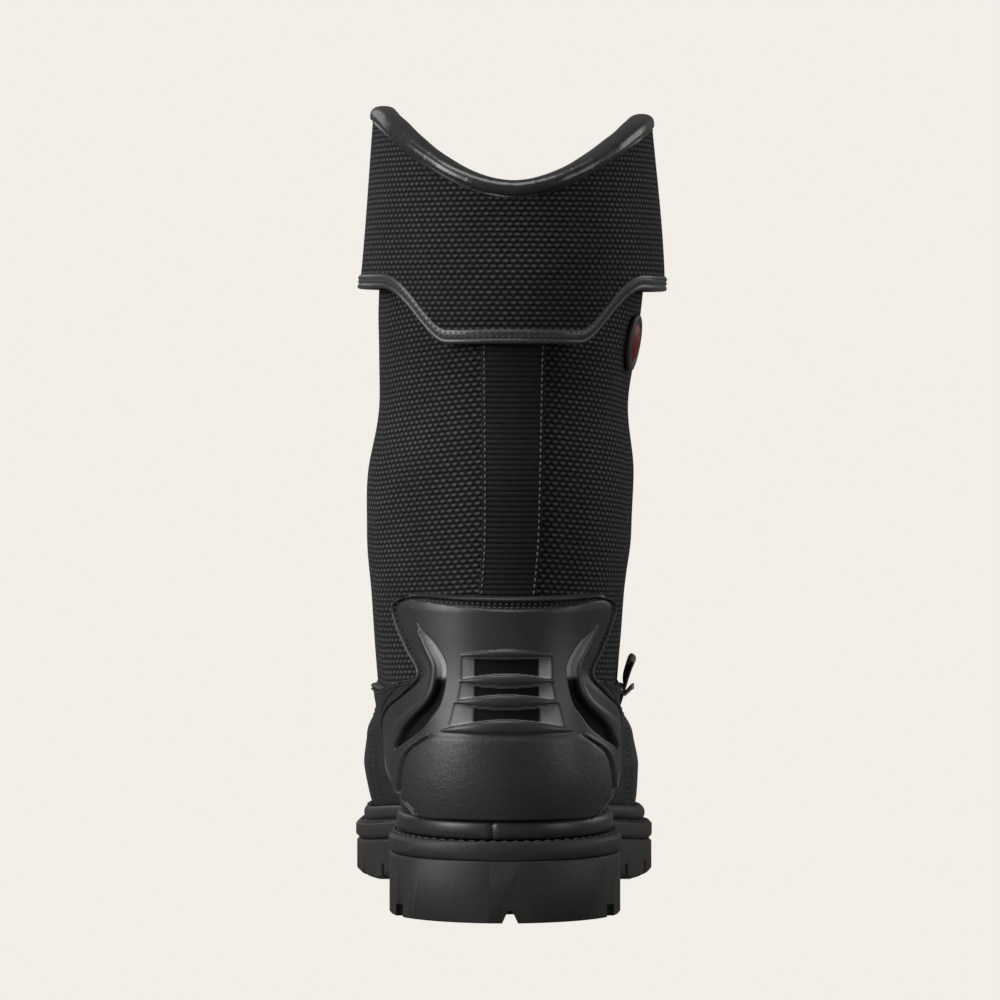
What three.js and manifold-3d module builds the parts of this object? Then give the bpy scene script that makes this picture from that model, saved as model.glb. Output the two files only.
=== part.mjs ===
// A right-foot pull-on structural firefighting boot: woven shaft, leather foot, moulded heel
// counter, lugged rubber bottom and the safety parts inside. Millimetres, +Z up, +Y towards the
// toe, +X to the outer (lateral) side. The origin is on the floor under the middle of the sole.
//
// Every part of the upper is a shell laid over one boot form. The form is addressed by an angle
// around the boot, 0 at the back seam, +90 on the lateral side and 180 at the front, and by the
// height of its section at the back seam. A shell is a patch of the form between two depths.
import * as THREE from "three";
import { mergeVertices } from "three/addons/utils/BufferGeometryUtils.js";
import Module from "manifold-3d";

const wasm = await Module();
wasm.setup();

// ---------------------------------------------------------------- driving dimensions
const gap = 0.5; // clearance between neighbouring layers
const fine = 0.3; // clearance between flat faces that rest on each other

const sole = {
  length: 325,
  heelHalf: 46.5,
  waistHalf: 43,
  ballHalf: 64,
  toeHalf: 54,
  toeSwing: 7, // how far the toe leans to the medial side
};
const heelBlock = { height: 24.3, length: 97, notchHeight: 5 };
const midsole = { thickness: 7.2 };
const outsole = { waistThickness: 6, lugDepth: 6.5, toeSpring: 7, seatDrop: 10 };
const welt = { height: 7.6, width: 4.8, ledge: 3.2 };
const leather = { thickness: 2 };
const base = { thickness: 2.2 }; // woven shaft cloth, and the stiffeners that lie level with it
const lining = { thickness: 3.8 };
const shaft = { halfWidth: 54, back: 14, front: 157, peakHeight: 316, dip: 31, frontDip: 27 };
const collar = { thickness: 1.9, flare: 6.6, hingeDrop: 19, flapLength: 47, tabLength: 22 };
const binding = { height: 7.8, overhang: 0.6 };
const hem = { height: 4.5 };
const strap = { width: 24, thickness: 1.5 };
const counter = { thickness: 4.7, height: 96, bottom: 9.3, ribDepth: 1 };
const flap = { from: 50, to: 130 }; // degrees round the boot that each pull flap takes
const insole = { filler: 2.5, plate: 1, board: 3, footbed: 5.2, clearance: 1.7 };
const shank = { width: 18, from: 62, to: 176 };
const toeCap = { setback: 66 };
const badge = { angle: 70, drop: 22, halfHeight: 11.5, halfWidth: 10, thickness: 2.3, inlay: 0.66 };
const label = { angle: 74, spread: 6, rise: 45, height: 18, thickness: 1.6, lean: 6 };
const nail = { radius: 1.6, length: 22, inset: 17 };

const seatHeight = heelBlock.height + fine + midsole.thickness; // top of the midsole at the heel

// ---------------------------------------------------------------- small maths
const radians = THREE.MathUtils.degToRad;
const { lerp, smoothstep, clamp } = THREE.MathUtils;
const up = (rise) => seatHeight + rise;

/** A smooth function of x through the points, held level beyond both ends. */
function through(xs, ys) {
  const slope = ys.map((y, i) => {
    const before = Math.max(i - 1, 0);
    const after = Math.min(i + 1, ys.length - 1);
    return i === before || i === after ? 0 : (ys[after] - ys[before]) / (xs[after] - xs[before]);
  });
  return (x) => {
    if (x <= xs[0]) return ys[0];
    if (x >= xs[xs.length - 1]) return ys[ys.length - 1];
    const i = xs.findIndex((edge) => x < edge) - 1;
    const span = xs[i + 1] - xs[i];
    const t = (x - xs[i]) / span;
    const rise = ys[i + 1] - ys[i];
    const a = slope[i] * span - rise;
    const b = rise - slope[i + 1] * span;
    return lerp(ys[i], ys[i + 1], t) + t * (1 - t) * (a * (1 - t) + b * t);
  };
}

/** Rounds both ends of a section: 0 at its tips, 1 beyond the two cap lengths. */
function roundEnds(s, backCap, frontCap) {
  const back = 1 - Math.min(s / backCap, 1);
  const front = 1 - Math.min((1 - s) / frontCap, 1);
  return Math.sqrt(Math.max(1 - back * back, 0)) * Math.sqrt(Math.max(1 - front * front, 0));
}

// ---------------------------------------------------------------- sole outline and profile
const STATIONS = [0, 0.14, 0.38, 0.64, 0.86, 1]; // share of the length from heel to toe
const soleWidths = [sole.heelHalf, sole.heelHalf, sole.waistHalf, sole.ballHalf, sole.toeHalf];
const soleWidth = through(STATIONS, [...soleWidths, sole.toeHalf * 0.94]);
const SOLE_CAPS = [0.13, 0.19];

const ball = { y: 0.62 * sole.length };
const breast = heelBlock.length;

/** Height of the midsole's top face: level over the heel, down to the ball and up to the toe. */
const seat = through(
  [0, breast, lerp(breast, ball.y, 0.55), ball.y, 0.79 * sole.length, sole.length],
  [
    seatHeight,
    seatHeight,
    seatHeight - 0.55 * outsole.seatDrop,
    seatHeight - outsole.seatDrop,
    seatHeight - outsole.seatDrop,
    seatHeight - outsole.seatDrop + outsole.toeSpring,
  ],
);
const toeSwing = (y) => -sole.toeSwing * smoothstep(y, ball.y, sole.length);

// ---------------------------------------------------------------- boot form
// Foot sections are given by their inset from the sole's edge, ankle and shaft sections by their
// share of the shaft's half width, each at heel, waist, ball and toe.
const featherInset = welt.ledge + welt.width + leather.thickness + 2 * gap;
const FOOT_LINES = [
  { rise: 1, back: 11, reach: 0.92, lift: -4, inset: Array(4).fill(featherInset), caps: [0.14, 0.21] },
  { rise: 10, back: 7.6, reach: 0.952, lift: -3, inset: [7.6, 7.2, 8.6, 8], caps: [0.14, 0.21] },
  { rise: 20, back: 6, reach: 0.95, lift: 0, inset: [5, 3.6, 7, 6], caps: [0.15, 0.22] },
  { rise: 30, back: 6, reach: 0.885, lift: 2, inset: [4, 0.4, 7, 7], caps: [0.17, 0.26] },
  { rise: 40, back: 7, reach: 0.73, lift: 3, inset: [4, -2.6, 13, 14], caps: [0.2, 0.34] },
];
const ANKLE_LINES = [
  { rise: 52, tie: 0.2, back: 9.5, reach: 0.52, lift: 4, share: [0.8, 0.9, 0.87, 0.65], caps: [0.24, 0.4] },
  { rise: 66, tie: 0.4, back: 12, reach: 0.335, lift: 7, share: [0.83, 0.92, 0.84, 0.68], caps: [0.3, 0.45] },
  { rise: 82, tie: 0.65, back: 13.5, reach: 0.18, lift: 9, share: [0.89, 0.94, 0.88, 0.78], caps: [0.38, 0.48] },
  { rise: 100, tie: 0.85, back: 14, reach: 0.068, lift: 6, share: [0.96, 0.97, 0.95, 0.9], caps: [0.46, 0.5] },
  { rise: 118, back: 14, reach: 0.015, lift: 2, share: [1, 1, 1, 0.99], caps: [0.5, 0.5] },
  { rise: 143, back: 14, reach: 0, lift: 0, share: [1, 1, 1, 1], caps: [0.5, 0.5] },
  { rise: 173, back: 16, reach: 0, lift: 0, share: Array(4).fill(0.94), caps: [0.5, 0.5] },
  { rise: 203, back: 15, reach: 0.004, lift: 0, share: Array(4).fill(0.985), caps: [0.5, 0.5] },
  { rise: 228, back: 13.5, reach: 0.01, lift: 0, share: Array(4).fill(1), caps: [0.5, 0.5] },
  { rise: 290, back: 11, reach: 0.025, lift: 0, share: Array(4).fill(1.01), caps: [0.5, 0.5] },
];
/** The half width the shares are taken of. It is tied to the sole at 0 and to the shaft at 1. */
const ankleHalf = (tie) => lerp(sole.waistHalf + 11, shaft.halfWidth, tie);
const LINES = [
  ...FOOT_LINES.map((line) => ({
    ...line,
    widths: line.inset.map((inset, i) => soleWidths[i + 1] - inset),
  })),
  ...ANKLE_LINES.map((line) => ({
    ...line,
    widths: line.share.map((share) => share * ankleHalf(line.tie ?? 1)),
  })),
];
const heights = LINES.map((line) => up(line.rise));
const column = (pick) => through(heights, LINES.map(pick));
const backAt = column((line) => line.back + shaft.back - 14);
const frontAt = column((line) => shaft.front + (sole.length - shaft.front) * line.reach);
const liftAt = column((line) => line.lift);
const widthsAt = [0, 1, 2, 3].map((i) => column((line) => line.widths[i]));
const backCapAt = column((line) => line.caps[0]);
const frontCapAt = column((line) => line.caps[1]);
const leanAt = through(
  [1, 20, 52, 118, 173, 203, 228, 290].map(up),
  [0, -1.5, -3, -2.4, -0.3, 1.6, 3, 3.2],
);
/** Where the back seam runs: straight up the heel, then a little to the lateral side. */
const seamAt = through([1, 78, 96, 118, 173, 228, 290].map(up), [0, 0, 1, 2.6, 3.2, 3.5, 3.3]);
const sagAt = through([up(1), up(10), up(20), up(30), up(42)], [1, 0.75, 0.45, 0.18, 0]);

/** Half width of the form's section at height h, at share s from back to front. */
function halfWidth(s, h) {
  const [heel, waist, ballWidth, toe] = widthsAt.map((at) => at(h));
  const side = through(STATIONS, [heel, heel, waist, ballWidth, toe, toe]);
  return side(s) * roundEnds(s, backCapAt(h), frontCapAt(h));
}

/** A point on the boot form. angle is in radians, positive on the lateral side. */
function form(angle, h) {
  const s = (1 - Math.cos(angle)) / 2;
  const y = lerp(backAt(h), frontAt(h), s);
  const lean = lerp(seamAt(h), leanAt(h), smoothstep(s, 0, 0.4));
  const x = lean + toeSwing(y) * smoothstep(up(66) - h, 0, 30);
  const straight = lerp(h, h + liftAt(h), s);
  const lowest = lerp(up(1), up(1) + LINES[0].lift, s);
  const sag = sagAt(h) * (lowest - seat(y) - 1);
  return new THREE.Vector3(x + Math.sign(Math.sin(angle)) * halfWidth(s, h), y, straight - sag);
}

/** The point that lies depth millimetres outside the form, or inside where depth is negative. */
function skin(angle, h, depth) {
  const step = 0.01;
  const around = form(angle + step, h).sub(form(angle - step, h));
  const upward = form(angle, h + 0.5).sub(form(angle, h - 0.5));
  return form(angle, h).addScaledVector(around.cross(upward).normalize(), depth);
}

/** The angle at which the form's section at height h reaches y. */
function angleAtY(h, y) {
  const s = clamp((y - backAt(h)) / (frontAt(h) - backAt(h)), 0.0005, 0.9995);
  return Math.acos(1 - 2 * s);
}

/** The angle near the back seam at which the form is x millimetres from its centre line. */
function angleAtX(h, x) {
  let low = 0;
  let high = Math.PI / 2;
  for (let i = 0; i < 30; i++) {
    const middle = (low + high) / 2;
    if (halfWidth((1 - Math.cos(middle)) / 2, h) < x) low = middle;
    else high = middle;
  }
  return low;
}

// ---------------------------------------------------------------- solids from grids
/** A closed geometry from a vertex list and faces of three or four corners. */
function meshOf(points, faces) {
  const index = faces.flatMap(([a, b, c, d]) => (d === undefined ? [a, b, c] : [a, b, c, a, c, d]));
  const geometry = new THREE.BufferGeometry();
  const positions = points.flatMap((p) => [p.x, p.y, p.z]);
  geometry.setAttribute("position", new THREE.Float32BufferAttribute(positions, 3));
  geometry.setIndex(index);
  return geometry;
}

/**
 * A tube of closed sections. Every section is a ring of points in the same order, and the first
 * and last are capped, or joined to each other where the tube is a loop.
 */
function loft(sections, loop = false) {
  const size = sections[0].length;
  const points = sections.flat();
  const faces = [];
  const spans = loop ? sections.length : sections.length - 1;
  for (let i = 0; i < spans; i++) {
    const here = i * size;
    const next = ((i + 1) % sections.length) * size;
    for (let j = 0; j < size; j++) {
      const k = (j + 1) % size;
      faces.push([here + j, here + k, next + k, next + j]);
    }
  }
  if (!loop) {
    const last = (sections.length - 1) * size;
    for (let j = 1; j < size - 1; j++) {
      faces.push([0, j + 1, j]);
      faces.push([last, last + j, last + j + 1]);
    }
  }
  return outward(meshOf(points, faces));
}

/** The same geometry with its faces pointing out. */
function outward(geometry) {
  const { array } = geometry.attributes.position;
  const index = geometry.index.array;
  const corner = (i) => new THREE.Vector3().fromArray(array, 3 * index[i]);
  let volume = 0;
  for (let i = 0; i < index.length; i += 3)
    volume += corner(i).dot(corner(i + 1).cross(corner(i + 2)));
  if (volume < 0)
    for (let i = 0; i < index.length; i += 3)
      [index[i + 1], index[i + 2]] = [index[i + 2], index[i + 1]];
  return geometry;
}

/**
 * A shell over the form. rows[i][j] is {angle, h, inner, outer}: the patch's grid with its two
 * depths. Each row goes round the boot, and loop joins its ends.
 */
function shell(rows, loop = false) {
  const sections = rows[0].map((_, j) => [
    ...rows.map((row) => skin(row[j].angle, row[j].h, row[j].outer)),
    ...rows.map((row) => skin(row[j].angle, row[j].h, row[j].inner)).reverse(),
  ]);
  return loftGrid(sections, rows.length, loop);
}

/**
 * A loft whose sections are thin strips, half of their points along the outer side. Its quads are
 * split along matching diagonals on both sides, so that stacked shells keep their distance.
 */
function loftGrid(sections, half, loop) {
  const size = 2 * half;
  const points = sections.flat();
  const faces = [];
  const spans = loop ? sections.length : sections.length - 1;
  for (let i = 0; i < spans; i++) {
    const here = i * size;
    const next = ((i + 1) % sections.length) * size;
    for (let j = 0; j < size; j++) {
      const k = (j + 1) % size;
      const quad = [here + j, here + k, next + k, next + j];
      faces.push(j < half ? quad : [...quad.slice(1), quad[0]]);
    }
  }
  if (!loop) {
    const last = (sections.length - 1) * size;
    for (let j = 0; j < half - 1; j++) {
      const k = size - 1 - j;
      faces.push([j + 1, j, k, k - 1]);
      faces.push([last + j, last + j + 1, last + k - 1, last + k]);
    }
  }
  return outward(meshOf(points, faces));
}

/** n + 1 even values from a to b. */
const even = (a, b, n) => Array.from({ length: n + 1 }, (_, i) => lerp(a, b, i / n));

const COLUMN_STEP = 12; // degrees between the columns that the layers share

/** Degrees from a to b in steps near the given one, as radians. */
const turn = (a, b, step = COLUMN_STEP) =>
  even(radians(a), radians(b), Math.max(Math.round(Math.abs(b - a) / step), 1));

const fixed = (value) => () => value;

/** A patch with a row at each level, where a level is a height or gives one for an angle. */
function patch(angles, levels, inner, outer) {
  return levels.map((level) =>
    angles.map((angle) => {
      const h = typeof level === "number" ? level : level(angle);
      return { angle, h, inner: inner(angle, h), outer: outer(angle, h) };
    }),
  );
}

/** A patch whose ends follow from(h) and to(h) at each of its heights. */
function strip(levels, from, to, columns, inner, outer) {
  return levels.map((h) =>
    even(from(h), to(h), columns).map((angle) => ({
      angle,
      h,
      inner: inner(angle, h),
      outer: outer(angle, h),
    })),
  );
}

// ---------------------------------------------------------------- manifold helpers
function toSolid(geometry) {
  const bare = geometry.clone();
  bare.deleteAttribute("normal");
  bare.deleteAttribute("uv");
  const merged = mergeVertices(bare, 1e-4);
  return new wasm.Manifold(
    new wasm.Mesh({
      numProp: 3,
      vertProperties: new Float32Array(merged.attributes.position.array),
      triVerts: new Uint32Array(merged.index.array),
    }),
  );
}

function toGeometry(solid) {
  const { vertProperties, triVerts } = solid.getMesh();
  const geometry = new THREE.BufferGeometry();
  geometry.setAttribute("position", new THREE.Float32BufferAttribute(vertProperties, 3));
  geometry.setIndex(new THREE.BufferAttribute(new Uint32Array(triVerts), 1));
  return geometry;
}

/** A geometry with the others cut away from it. */
const cut = (geometry, tools) =>
  toGeometry(tools.reduce((solid, tool) => solid.subtract(toSolid(tool)), toSolid(geometry)));

/** What a geometry has in common with a region. */
const within = (geometry, region) => toGeometry(toSolid(geometry).intersect(toSolid(region)));

/** A prism of a side view outline, given as [y, z] corners, between two planes across the boot. */
function sidePrism(corners, xFrom, xTo) {
  const shape = new THREE.Shape(corners.map(([y, z]) => new THREE.Vector2(y, z)));
  return new THREE.ExtrudeGeometry(shape, { depth: xTo - xFrom, bevelEnabled: false })
    .rotateY(Math.PI / 2)
    .rotateX(Math.PI / 2)
    .translate(xFrom, 0, 0);
}

/** A box centred on (x, y, z), turned about Z by degrees. */
function block(x, y, z, width, length, height, degrees = 0) {
  return new THREE.BoxGeometry(width, length, height)
    .rotateZ(radians(degrees))
    .translate(x, y, z);
}

// ---------------------------------------------------------------- materials
const finish = (color, roughness, metalness = 0) =>
  new THREE.MeshStandardMaterial({ color, roughness, metalness });
const materials = {
  wovenCloth: finish(0x1b1b1d, 0.75),
  webbing: finish(0x161617, 0.7),
  smoothLeather: finish(0x232326, 0.5),
  mouldedRubber: finish(0x2a2b2c, 0.42),
  glossRubber: finish(0x101112, 0.25),
  soleRubber: finish(0x262523, 0.6),
  bindingLeather: finish(0x2b2b2d, 0.32),
  liningCloth: finish(0x3a3a3c, 0.9),
  foam: finish(0x55524c, 0.95),
  steel: finish(0x9a9c9e, 0.3, 1),
  cork: finish(0x8a6a48, 0.9),
  board: finish(0x6f6a60, 0.85),
  badgeRed: finish(0x8e2f2c, 0.45),
  labelCloth: finish(0x1a1a1a, 0.8),
};

// The heel's back edge is at y 0 in the lines above; the group moves it behind the origin.
const boot = new THREE.Group();
boot.position.y = -sole.length / 2;

function add(name, geometry, material) {
  const mesh = new THREE.Mesh(geometry, material);
  mesh.name = name;
  boot.add(mesh);
  return mesh;
}

// ---------------------------------------------------------------- bottom unit
/** Outline shares that crowd towards both ends, where the outline turns. */
const outlineShares = (from, to, count) =>
  even(Math.acos(1 - 2 * from), Math.acos(1 - 2 * to), count).map((a) => (1 - Math.cos(a)) / 2);

/**
 * A slab under or in the boot from yFrom to yTo. width(s) is its half width, bottom(y) and top(y)
 * its faces, and bevel the corner taken off along its top and bottom edges.
 */
function slab({ shares, width, bottom, top, bevel = 0, length = sole.length, start = 0 }) {
  return loft(
    shares.map((s) => {
      const y = start + s * length;
      const half = width(s);
      const x = toeSwing(y);
      const low = bottom(y);
      const high = top(y);
      const corner = Math.min(bevel, half / 2);
      const ring = [
        [-half + corner, low],
        [half - corner, low],
        [half, low + corner],
        [half, high - corner],
        [half - corner, high],
        [-half + corner, high],
        [-half, high - corner],
        [-half, low + corner],
      ];
      const corners = corner > 0 ? ring : [ring[0], ring[1], ring[4], ring[5]];
      return corners.map(([across, z]) => new THREE.Vector3(x + across, y, z));
    }),
  );
}

const soleHalf = (s) => soleWidth(s) * roundEnds(s, ...SOLE_CAPS);
const SOLE_TIP = 0.0015; // share of the length at which the outline starts, short of a point

function buildMidsole() {
  return slab({
    shares: outlineShares(SOLE_TIP, 1 - SOLE_TIP, 36),
    width: soleHalf,
    bottom: (y) => seat(y) - midsole.thickness,
    top: seat,
    bevel: 1.4,
  });
}

const midsoleBottom = (y) => seat(y) - midsole.thickness - fine;

/** Ground profile of the lugs: flat under the ball, lifted at the toe and at the waist. */
function lugBottom(y) {
  const toeLift = outsole.toeSpring * smoothstep(y, 0.8 * sole.length, sole.length * 1.02);
  const waistLift =
    (seatHeight - midsole.thickness - outsole.waistThickness) *
    (1 - smoothstep(y, breast + 8, lerp(breast, ball.y, 0.72)));
  return Math.max(toeLift, waistLift);
}

function buildOutsole() {
  const plate = slab({
    shares: outlineShares((breast + gap) / sole.length, 1 - SOLE_TIP, 30),
    width: (s) => soleHalf(s) - 0.4,
    bottom: lugBottom,
    top: midsoleBottom,
    bevel: 1.2,
  });
  const tools = [];
  const rows = [0.5, 0.57, 0.64, 0.71, 0.78, 0.85, 0.92];
  rows.forEach((share, i) => {
    const y = share * sole.length;
    const depth = lugBottom(y) + outsole.lugDepth - 10;
    const lean = i % 2 ? 12 : -12;
    const half = soleHalf(share);
    for (const side of [-1, 1]) {
      const middle = toeSwing(y) + side * (half - 13);
      tools.push(block(middle, y, depth, 46, 4, 20, side * lean));
    }
  });
  const spine = lerp(0.48, 0.94, 0.5) * sole.length;
  tools.push(block(0, spine, outsole.lugDepth - 10, 4.5, 0.44 * sole.length, 20));
  return cut(plate, tools);
}

/** Places of the heel nails round the heel block, in millimetres. */
const nailPlaces = [-72, -36, 0, 36, 72].map((degrees) => {
  const a = radians(degrees);
  const reach = sole.heelHalf - nail.inset;
  return new THREE.Vector2(reach * Math.sin(a), 48 - reach * Math.cos(a));
});

const nailTop = seatHeight + insole.filler;
const nailBottom = nailTop - nail.length;

function nailGeometry(radius, low, high, place) {
  return new THREE.CylinderGeometry(radius, radius, high - low, 8)
    .rotateX(Math.PI / 2)
    .translate(place.x, place.y, (low + high) / 2);
}

function buildHeelBlock() {
  const body = slab({
    shares: outlineShares(SOLE_TIP, breast / sole.length, 20),
    width: (s) => soleHalf(s) - 0.4,
    bottom: fixed(0),
    top: midsoleBottom,
    bevel: 0.8,
  });
  const tools = [];
  const notch = heelBlock.notchHeight;
  const vee = new THREE.Shape([
    new THREE.Vector2(-3.6, -1),
    new THREE.Vector2(3.6, -1),
    new THREE.Vector2(0.8, notch),
    new THREE.Vector2(-0.8, notch),
  ]);
  tools.push(
    new THREE.ExtrudeGeometry(vee, { depth: 34, bevelEnabled: false })
      .rotateX(Math.PI / 2)
      .translate(2, 33, 0),
  );
  for (const side of [-1, 1]) {
    tools.push(block(side * 41, 14, 0, 2.6, 30, 2 * notch, side * -4));
    for (const y of [36, 58, 80])
      tools.push(block(side * 38, y, 0, 34, 4, 2 * notch, side * 14));
  }
  for (const place of nailPlaces)
    tools.push(nailGeometry(nail.radius + fine, nailBottom - fine, 2 * nailTop, place));
  return cut(body, tools);
}

/** The rounded roll that closes the joint between the upper and the midsole. */
function weltRoll(angles) {
  const inner = gap + leather.thickness + gap + fine;
  const { height, width } = welt;
  return loft(
    angles.map((angle) => {
      const foot = skin(angle, up(1), inner);
      const shoulder = skin(angle, up(height), inner);
      const step = 0.02;
      const along = form(angle + step, up(1)).sub(form(angle - step, up(1)));
      const out = new THREE.Vector3(along.y, -along.x, 0).normalize();
      const at = (reach, rise) => {
        const p = foot.clone().addScaledVector(out, reach);
        return p.setZ(seat(clamp(p.y, 0, sole.length)) + rise);
      };
      return [
        at(0, fine),
        at(width - 0.6, fine),
        at(width, 0.25 * height),
        at(width, 0.7 * height),
        shoulder.clone().addScaledVector(out, 0.9),
        shoulder,
        skin(angle, up(0.5 * height), inner),
      ];
    }),
  );
}

const RAND_HALF = 60; // degrees each side of the back seam that the heel rand covers

/** A slab inside the lining, following the form's lowest section. */
function innerSlab(low, high, from, to, count, extraInset = 0) {
  const h = up(1);
  const inset = base.thickness + gap + lining.thickness + insole.clearance + extraInset;
  const start = backAt(h) + inset;
  const length = frontAt(h) - backAt(h) - 2 * inset;
  const [heel, waist, ballWidth, toe] = widthsAt.map((at) => at(h) - inset);
  const side = through(STATIONS, [heel, heel, waist, ballWidth, toe, toe]);
  return slab({
    shares: outlineShares(from, to, count),
    width: (s) => side(s) * roundEnds(s, backCapAt(h), frontCapAt(h)),
    bottom: (y) => seat(y) + low,
    top: (y) => seat(y) + high,
    length,
    start,
  });
}

function buildBottomUnit() {
  const { soleRubber, cork, steel, board, foam, glossRubber } = materials;
  add("midsole", cut(buildMidsole(), nailPlaces.map((place) =>
    nailGeometry(nail.radius + fine, -1, 3 * nailTop, place))), soleRubber);
  add("outsole_forepart", buildOutsole(), soleRubber);
  add("heel_block", buildHeelBlock(), soleRubber);
  nailPlaces.forEach((place, i) =>
    add(`heel_nail_${i + 1}`, nailGeometry(nail.radius, nailBottom, nailTop, place), steel));
  const randEnds = radians(RAND_HALF + 1);
  const weltColumns = turn(RAND_HALF + 12, 348 - RAND_HALF);
  add("heel_rand", weltRoll(turn(-RAND_HALF, RAND_HALF)), materials.mouldedRubber);
  add("forepart_welt", weltRoll([randEnds, ...weltColumns, 2 * Math.PI - randEnds]), glossRubber);

  const fillerTop = fine + insole.filler;
  const plateTop = fillerTop + fine + insole.plate;
  const boardTop = plateTop + fine + insole.board;
  const tip = 0.004;
  add("cork_filler", innerSlab(fine, fillerTop, 0.64, 1 - tip, 14, 1), cork);
  const shankSide = fixed(shank.width / 2);
  add("steel_shank", slab({
    shares: even(shank.from / sole.length, shank.to / sole.length, 8),
    width: shankSide,
    bottom: (y) => seat(y) + fine,
    top: (y) => seat(y) + fillerTop,
    bevel: 0.6,
  }), steel);
  add("puncture_plate", innerSlab(fillerTop + fine, plateTop, tip, 1 - tip, 24, 0.6), steel);
  add("insole_board", innerSlab(plateTop + fine, boardTop, tip, 1 - tip, 24), board);
  const bed = innerSlab(boardTop + fine, boardTop + fine + insole.footbed, tip, 1 - tip, 24, 0.6);
  add("footbed", bed, foam);
}

// ---------------------------------------------------------------- collar lines
/** Share of the way from the dips to the side peaks, by angle. */
const peakShare = (angle) => Math.pow(Math.sin(angle) ** 2, 0.92);

/** Height of the cloth's top edge, under the rolled binding; the medial peak is the higher one. */
function topEdge(angle) {
  const dip = Math.cos(angle) > 0 ? shaft.dip : shaft.frontDip;
  const tilt = -1.6 * Math.sin(angle) * peakShare(angle);
  return shaft.peakHeight + tilt - dip * (1 - peakShare(angle));
}

const hingeHeight = shaft.peakHeight - collar.hingeDrop;
const flapBottom = hingeHeight - collar.flapLength;
const tabBottom = flapBottom - collar.tabLength;

/** Height of the collar's lower edge: a tab at back and front, the flaps' edge at the sides. */
function collarEdge(angle) {
  const off = Math.abs(Math.sin(angle)) * shaft.halfWidth;
  return lerp(tabBottom, flapBottom, smoothstep(off, 24, 46));
}

/** Depth of the collar's inner face: over the strap at the tabs, standing off at the flaps. */
function collarDepth(angle, h) {
  const down = clamp((topEdge(angle) - h) / (shaft.peakHeight - flapBottom), 0, 1.2);
  const side = smoothstep(Math.abs(Math.sin(angle)), 0.6, 0.95);
  const overStrap = leather.thickness + 2 * gap;
  const tab = lerp(gap, overStrap, smoothstep(down, 0.1, 0.5));
  return lerp(tab, gap + collar.flare * down, side);
}
const collarOuter = (angle, h) => collarDepth(angle, h) + collar.thickness;

// ---------------------------------------------------------------- layers of the upper
// Every layer uses the same columns and rows, so that its facets lie level with its neighbours'.
const ROWS = [10, 20, 30, 40, 48, 54, 61, 68, 76, 85, 95, 106, 118, 143, 173, 203, 228].map(up);
const COLUMNS = turn(-180, 168);

/** The shared rows between two heights, with rows at the two heights themselves. */
const rowsBetween = (low, high) => [low, ...ROWS.filter((h) => h > low + 2 && h < high - 2), high];

/** The shared rows from a height up to the cloth's top edge. */
function rowsToTop(low) {
  const lowestTop = shaft.peakHeight - Math.max(shaft.dip, shaft.frontDip);
  const rows = ROWS.filter((h) => h > low + 2 && h < lowestTop - 10);
  return [low, ...rows, (angle) => lerp(rows.at(-1), topEdge(angle), 0.5), topEdge];
}

/** A closed ring of a layer, from one height to another. */
const ring = (levels, inner, outer) => shell(patch(COLUMNS, levels, inner, outer), true);

const outerLow = gap;
const outerHigh = gap + leather.thickness;
const clothEdge = up(48); // lower edge of the woven shaft, under the quarters
const quarterTop = up(56);
const far = 200; // beyond the boot on any side

/** Side view corners of everything on one side of the line through two points. */
const beside = ([y1, z1], [y2, z2], yFar) => [[y1, z1], [y2, z2], [yFar, z2], [yFar, z1]];

/** The part of a ring behind, between or in front of planes across the boot, on chosen sides. */
function section(geometry, yFrom, yTo, xFrom = -far, xTo = far, zTo = 2 * far) {
  const corners = [[yFrom, -far], [yTo, -far], [yTo, zTo], [yFrom, zTo]];
  return within(geometry, sidePrism(corners, xFrom, xTo));
}

// ---------------------------------------------------------------- shin pad and lining
const pad = { from: 144, low: up(108), high: tabBottom + 26, thickness: 2.8 };

/** 1 where the shin pad lies under the cloth, falling to 0 around it. */
function padShare(angle, h) {
  const front = Math.acos(Math.cos(angle));
  const across = smoothstep(front, radians(pad.from - 20), radians(pad.from - 5));
  const below = smoothstep(h, pad.low - 22, pad.low - 4);
  return across * below * (1 - smoothstep(h, pad.high + 4, pad.high + 22));
}
const liningOuter = (angle, h) =>
  -base.thickness - gap - (pad.thickness + gap) * padShare(angle, h);
const liningInner = (angle, h) =>
  -base.thickness - gap - lining.thickness - 0.5 * pad.thickness * padShare(angle, h);

// ---------------------------------------------------------------- heel counter
/** How far forward the moulded counter reaches at each height: an hourglass with a wide foot. */
const counterReach = through(
  [9, 20, 30, 40, 48, 55, 63, 74, 84, 91, 96].map(up),
  [30, 52, 72, 70, 56, 40, 31, 38, 44, 44, 34],
);
const counterEdge = (h) => angleAtY(h, counterReach(h));
const backing = { half: 22.6, low: up(43), high: up(73) };

/** Depth of the counter's inner face: over the quarters, the strap and the dark backing. */
function counterInner(angle, h) {
  const { y, x } = form(angle, h);
  const off = Math.abs(x - seamAt(h));
  const overQuarter =
    smoothstep(y, counterReach(h) - 18, counterReach(h) - 12) *
    (1 - smoothstep(h, quarterTop + 2, quarterTop + 6));
  const overStrap =
    (1 - smoothstep(off, strap.width / 2 + 3, strap.width / 2 + 7)) * smoothstep(h, up(79), up(84));
  const middle = (backing.low + backing.high) / 2;
  const away = Math.max(off - backing.half, Math.abs(h - middle) - (backing.high - middle));
  const overBacking = 1 - smoothstep(away, 2.5, 8);
  return (
    gap +
    fine +
    Math.max(
      overQuarter * (leather.thickness + gap),
      overStrap * (strap.thickness + gap),
      overBacking * (counter.ribDepth + gap),
    )
  );
}

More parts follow.
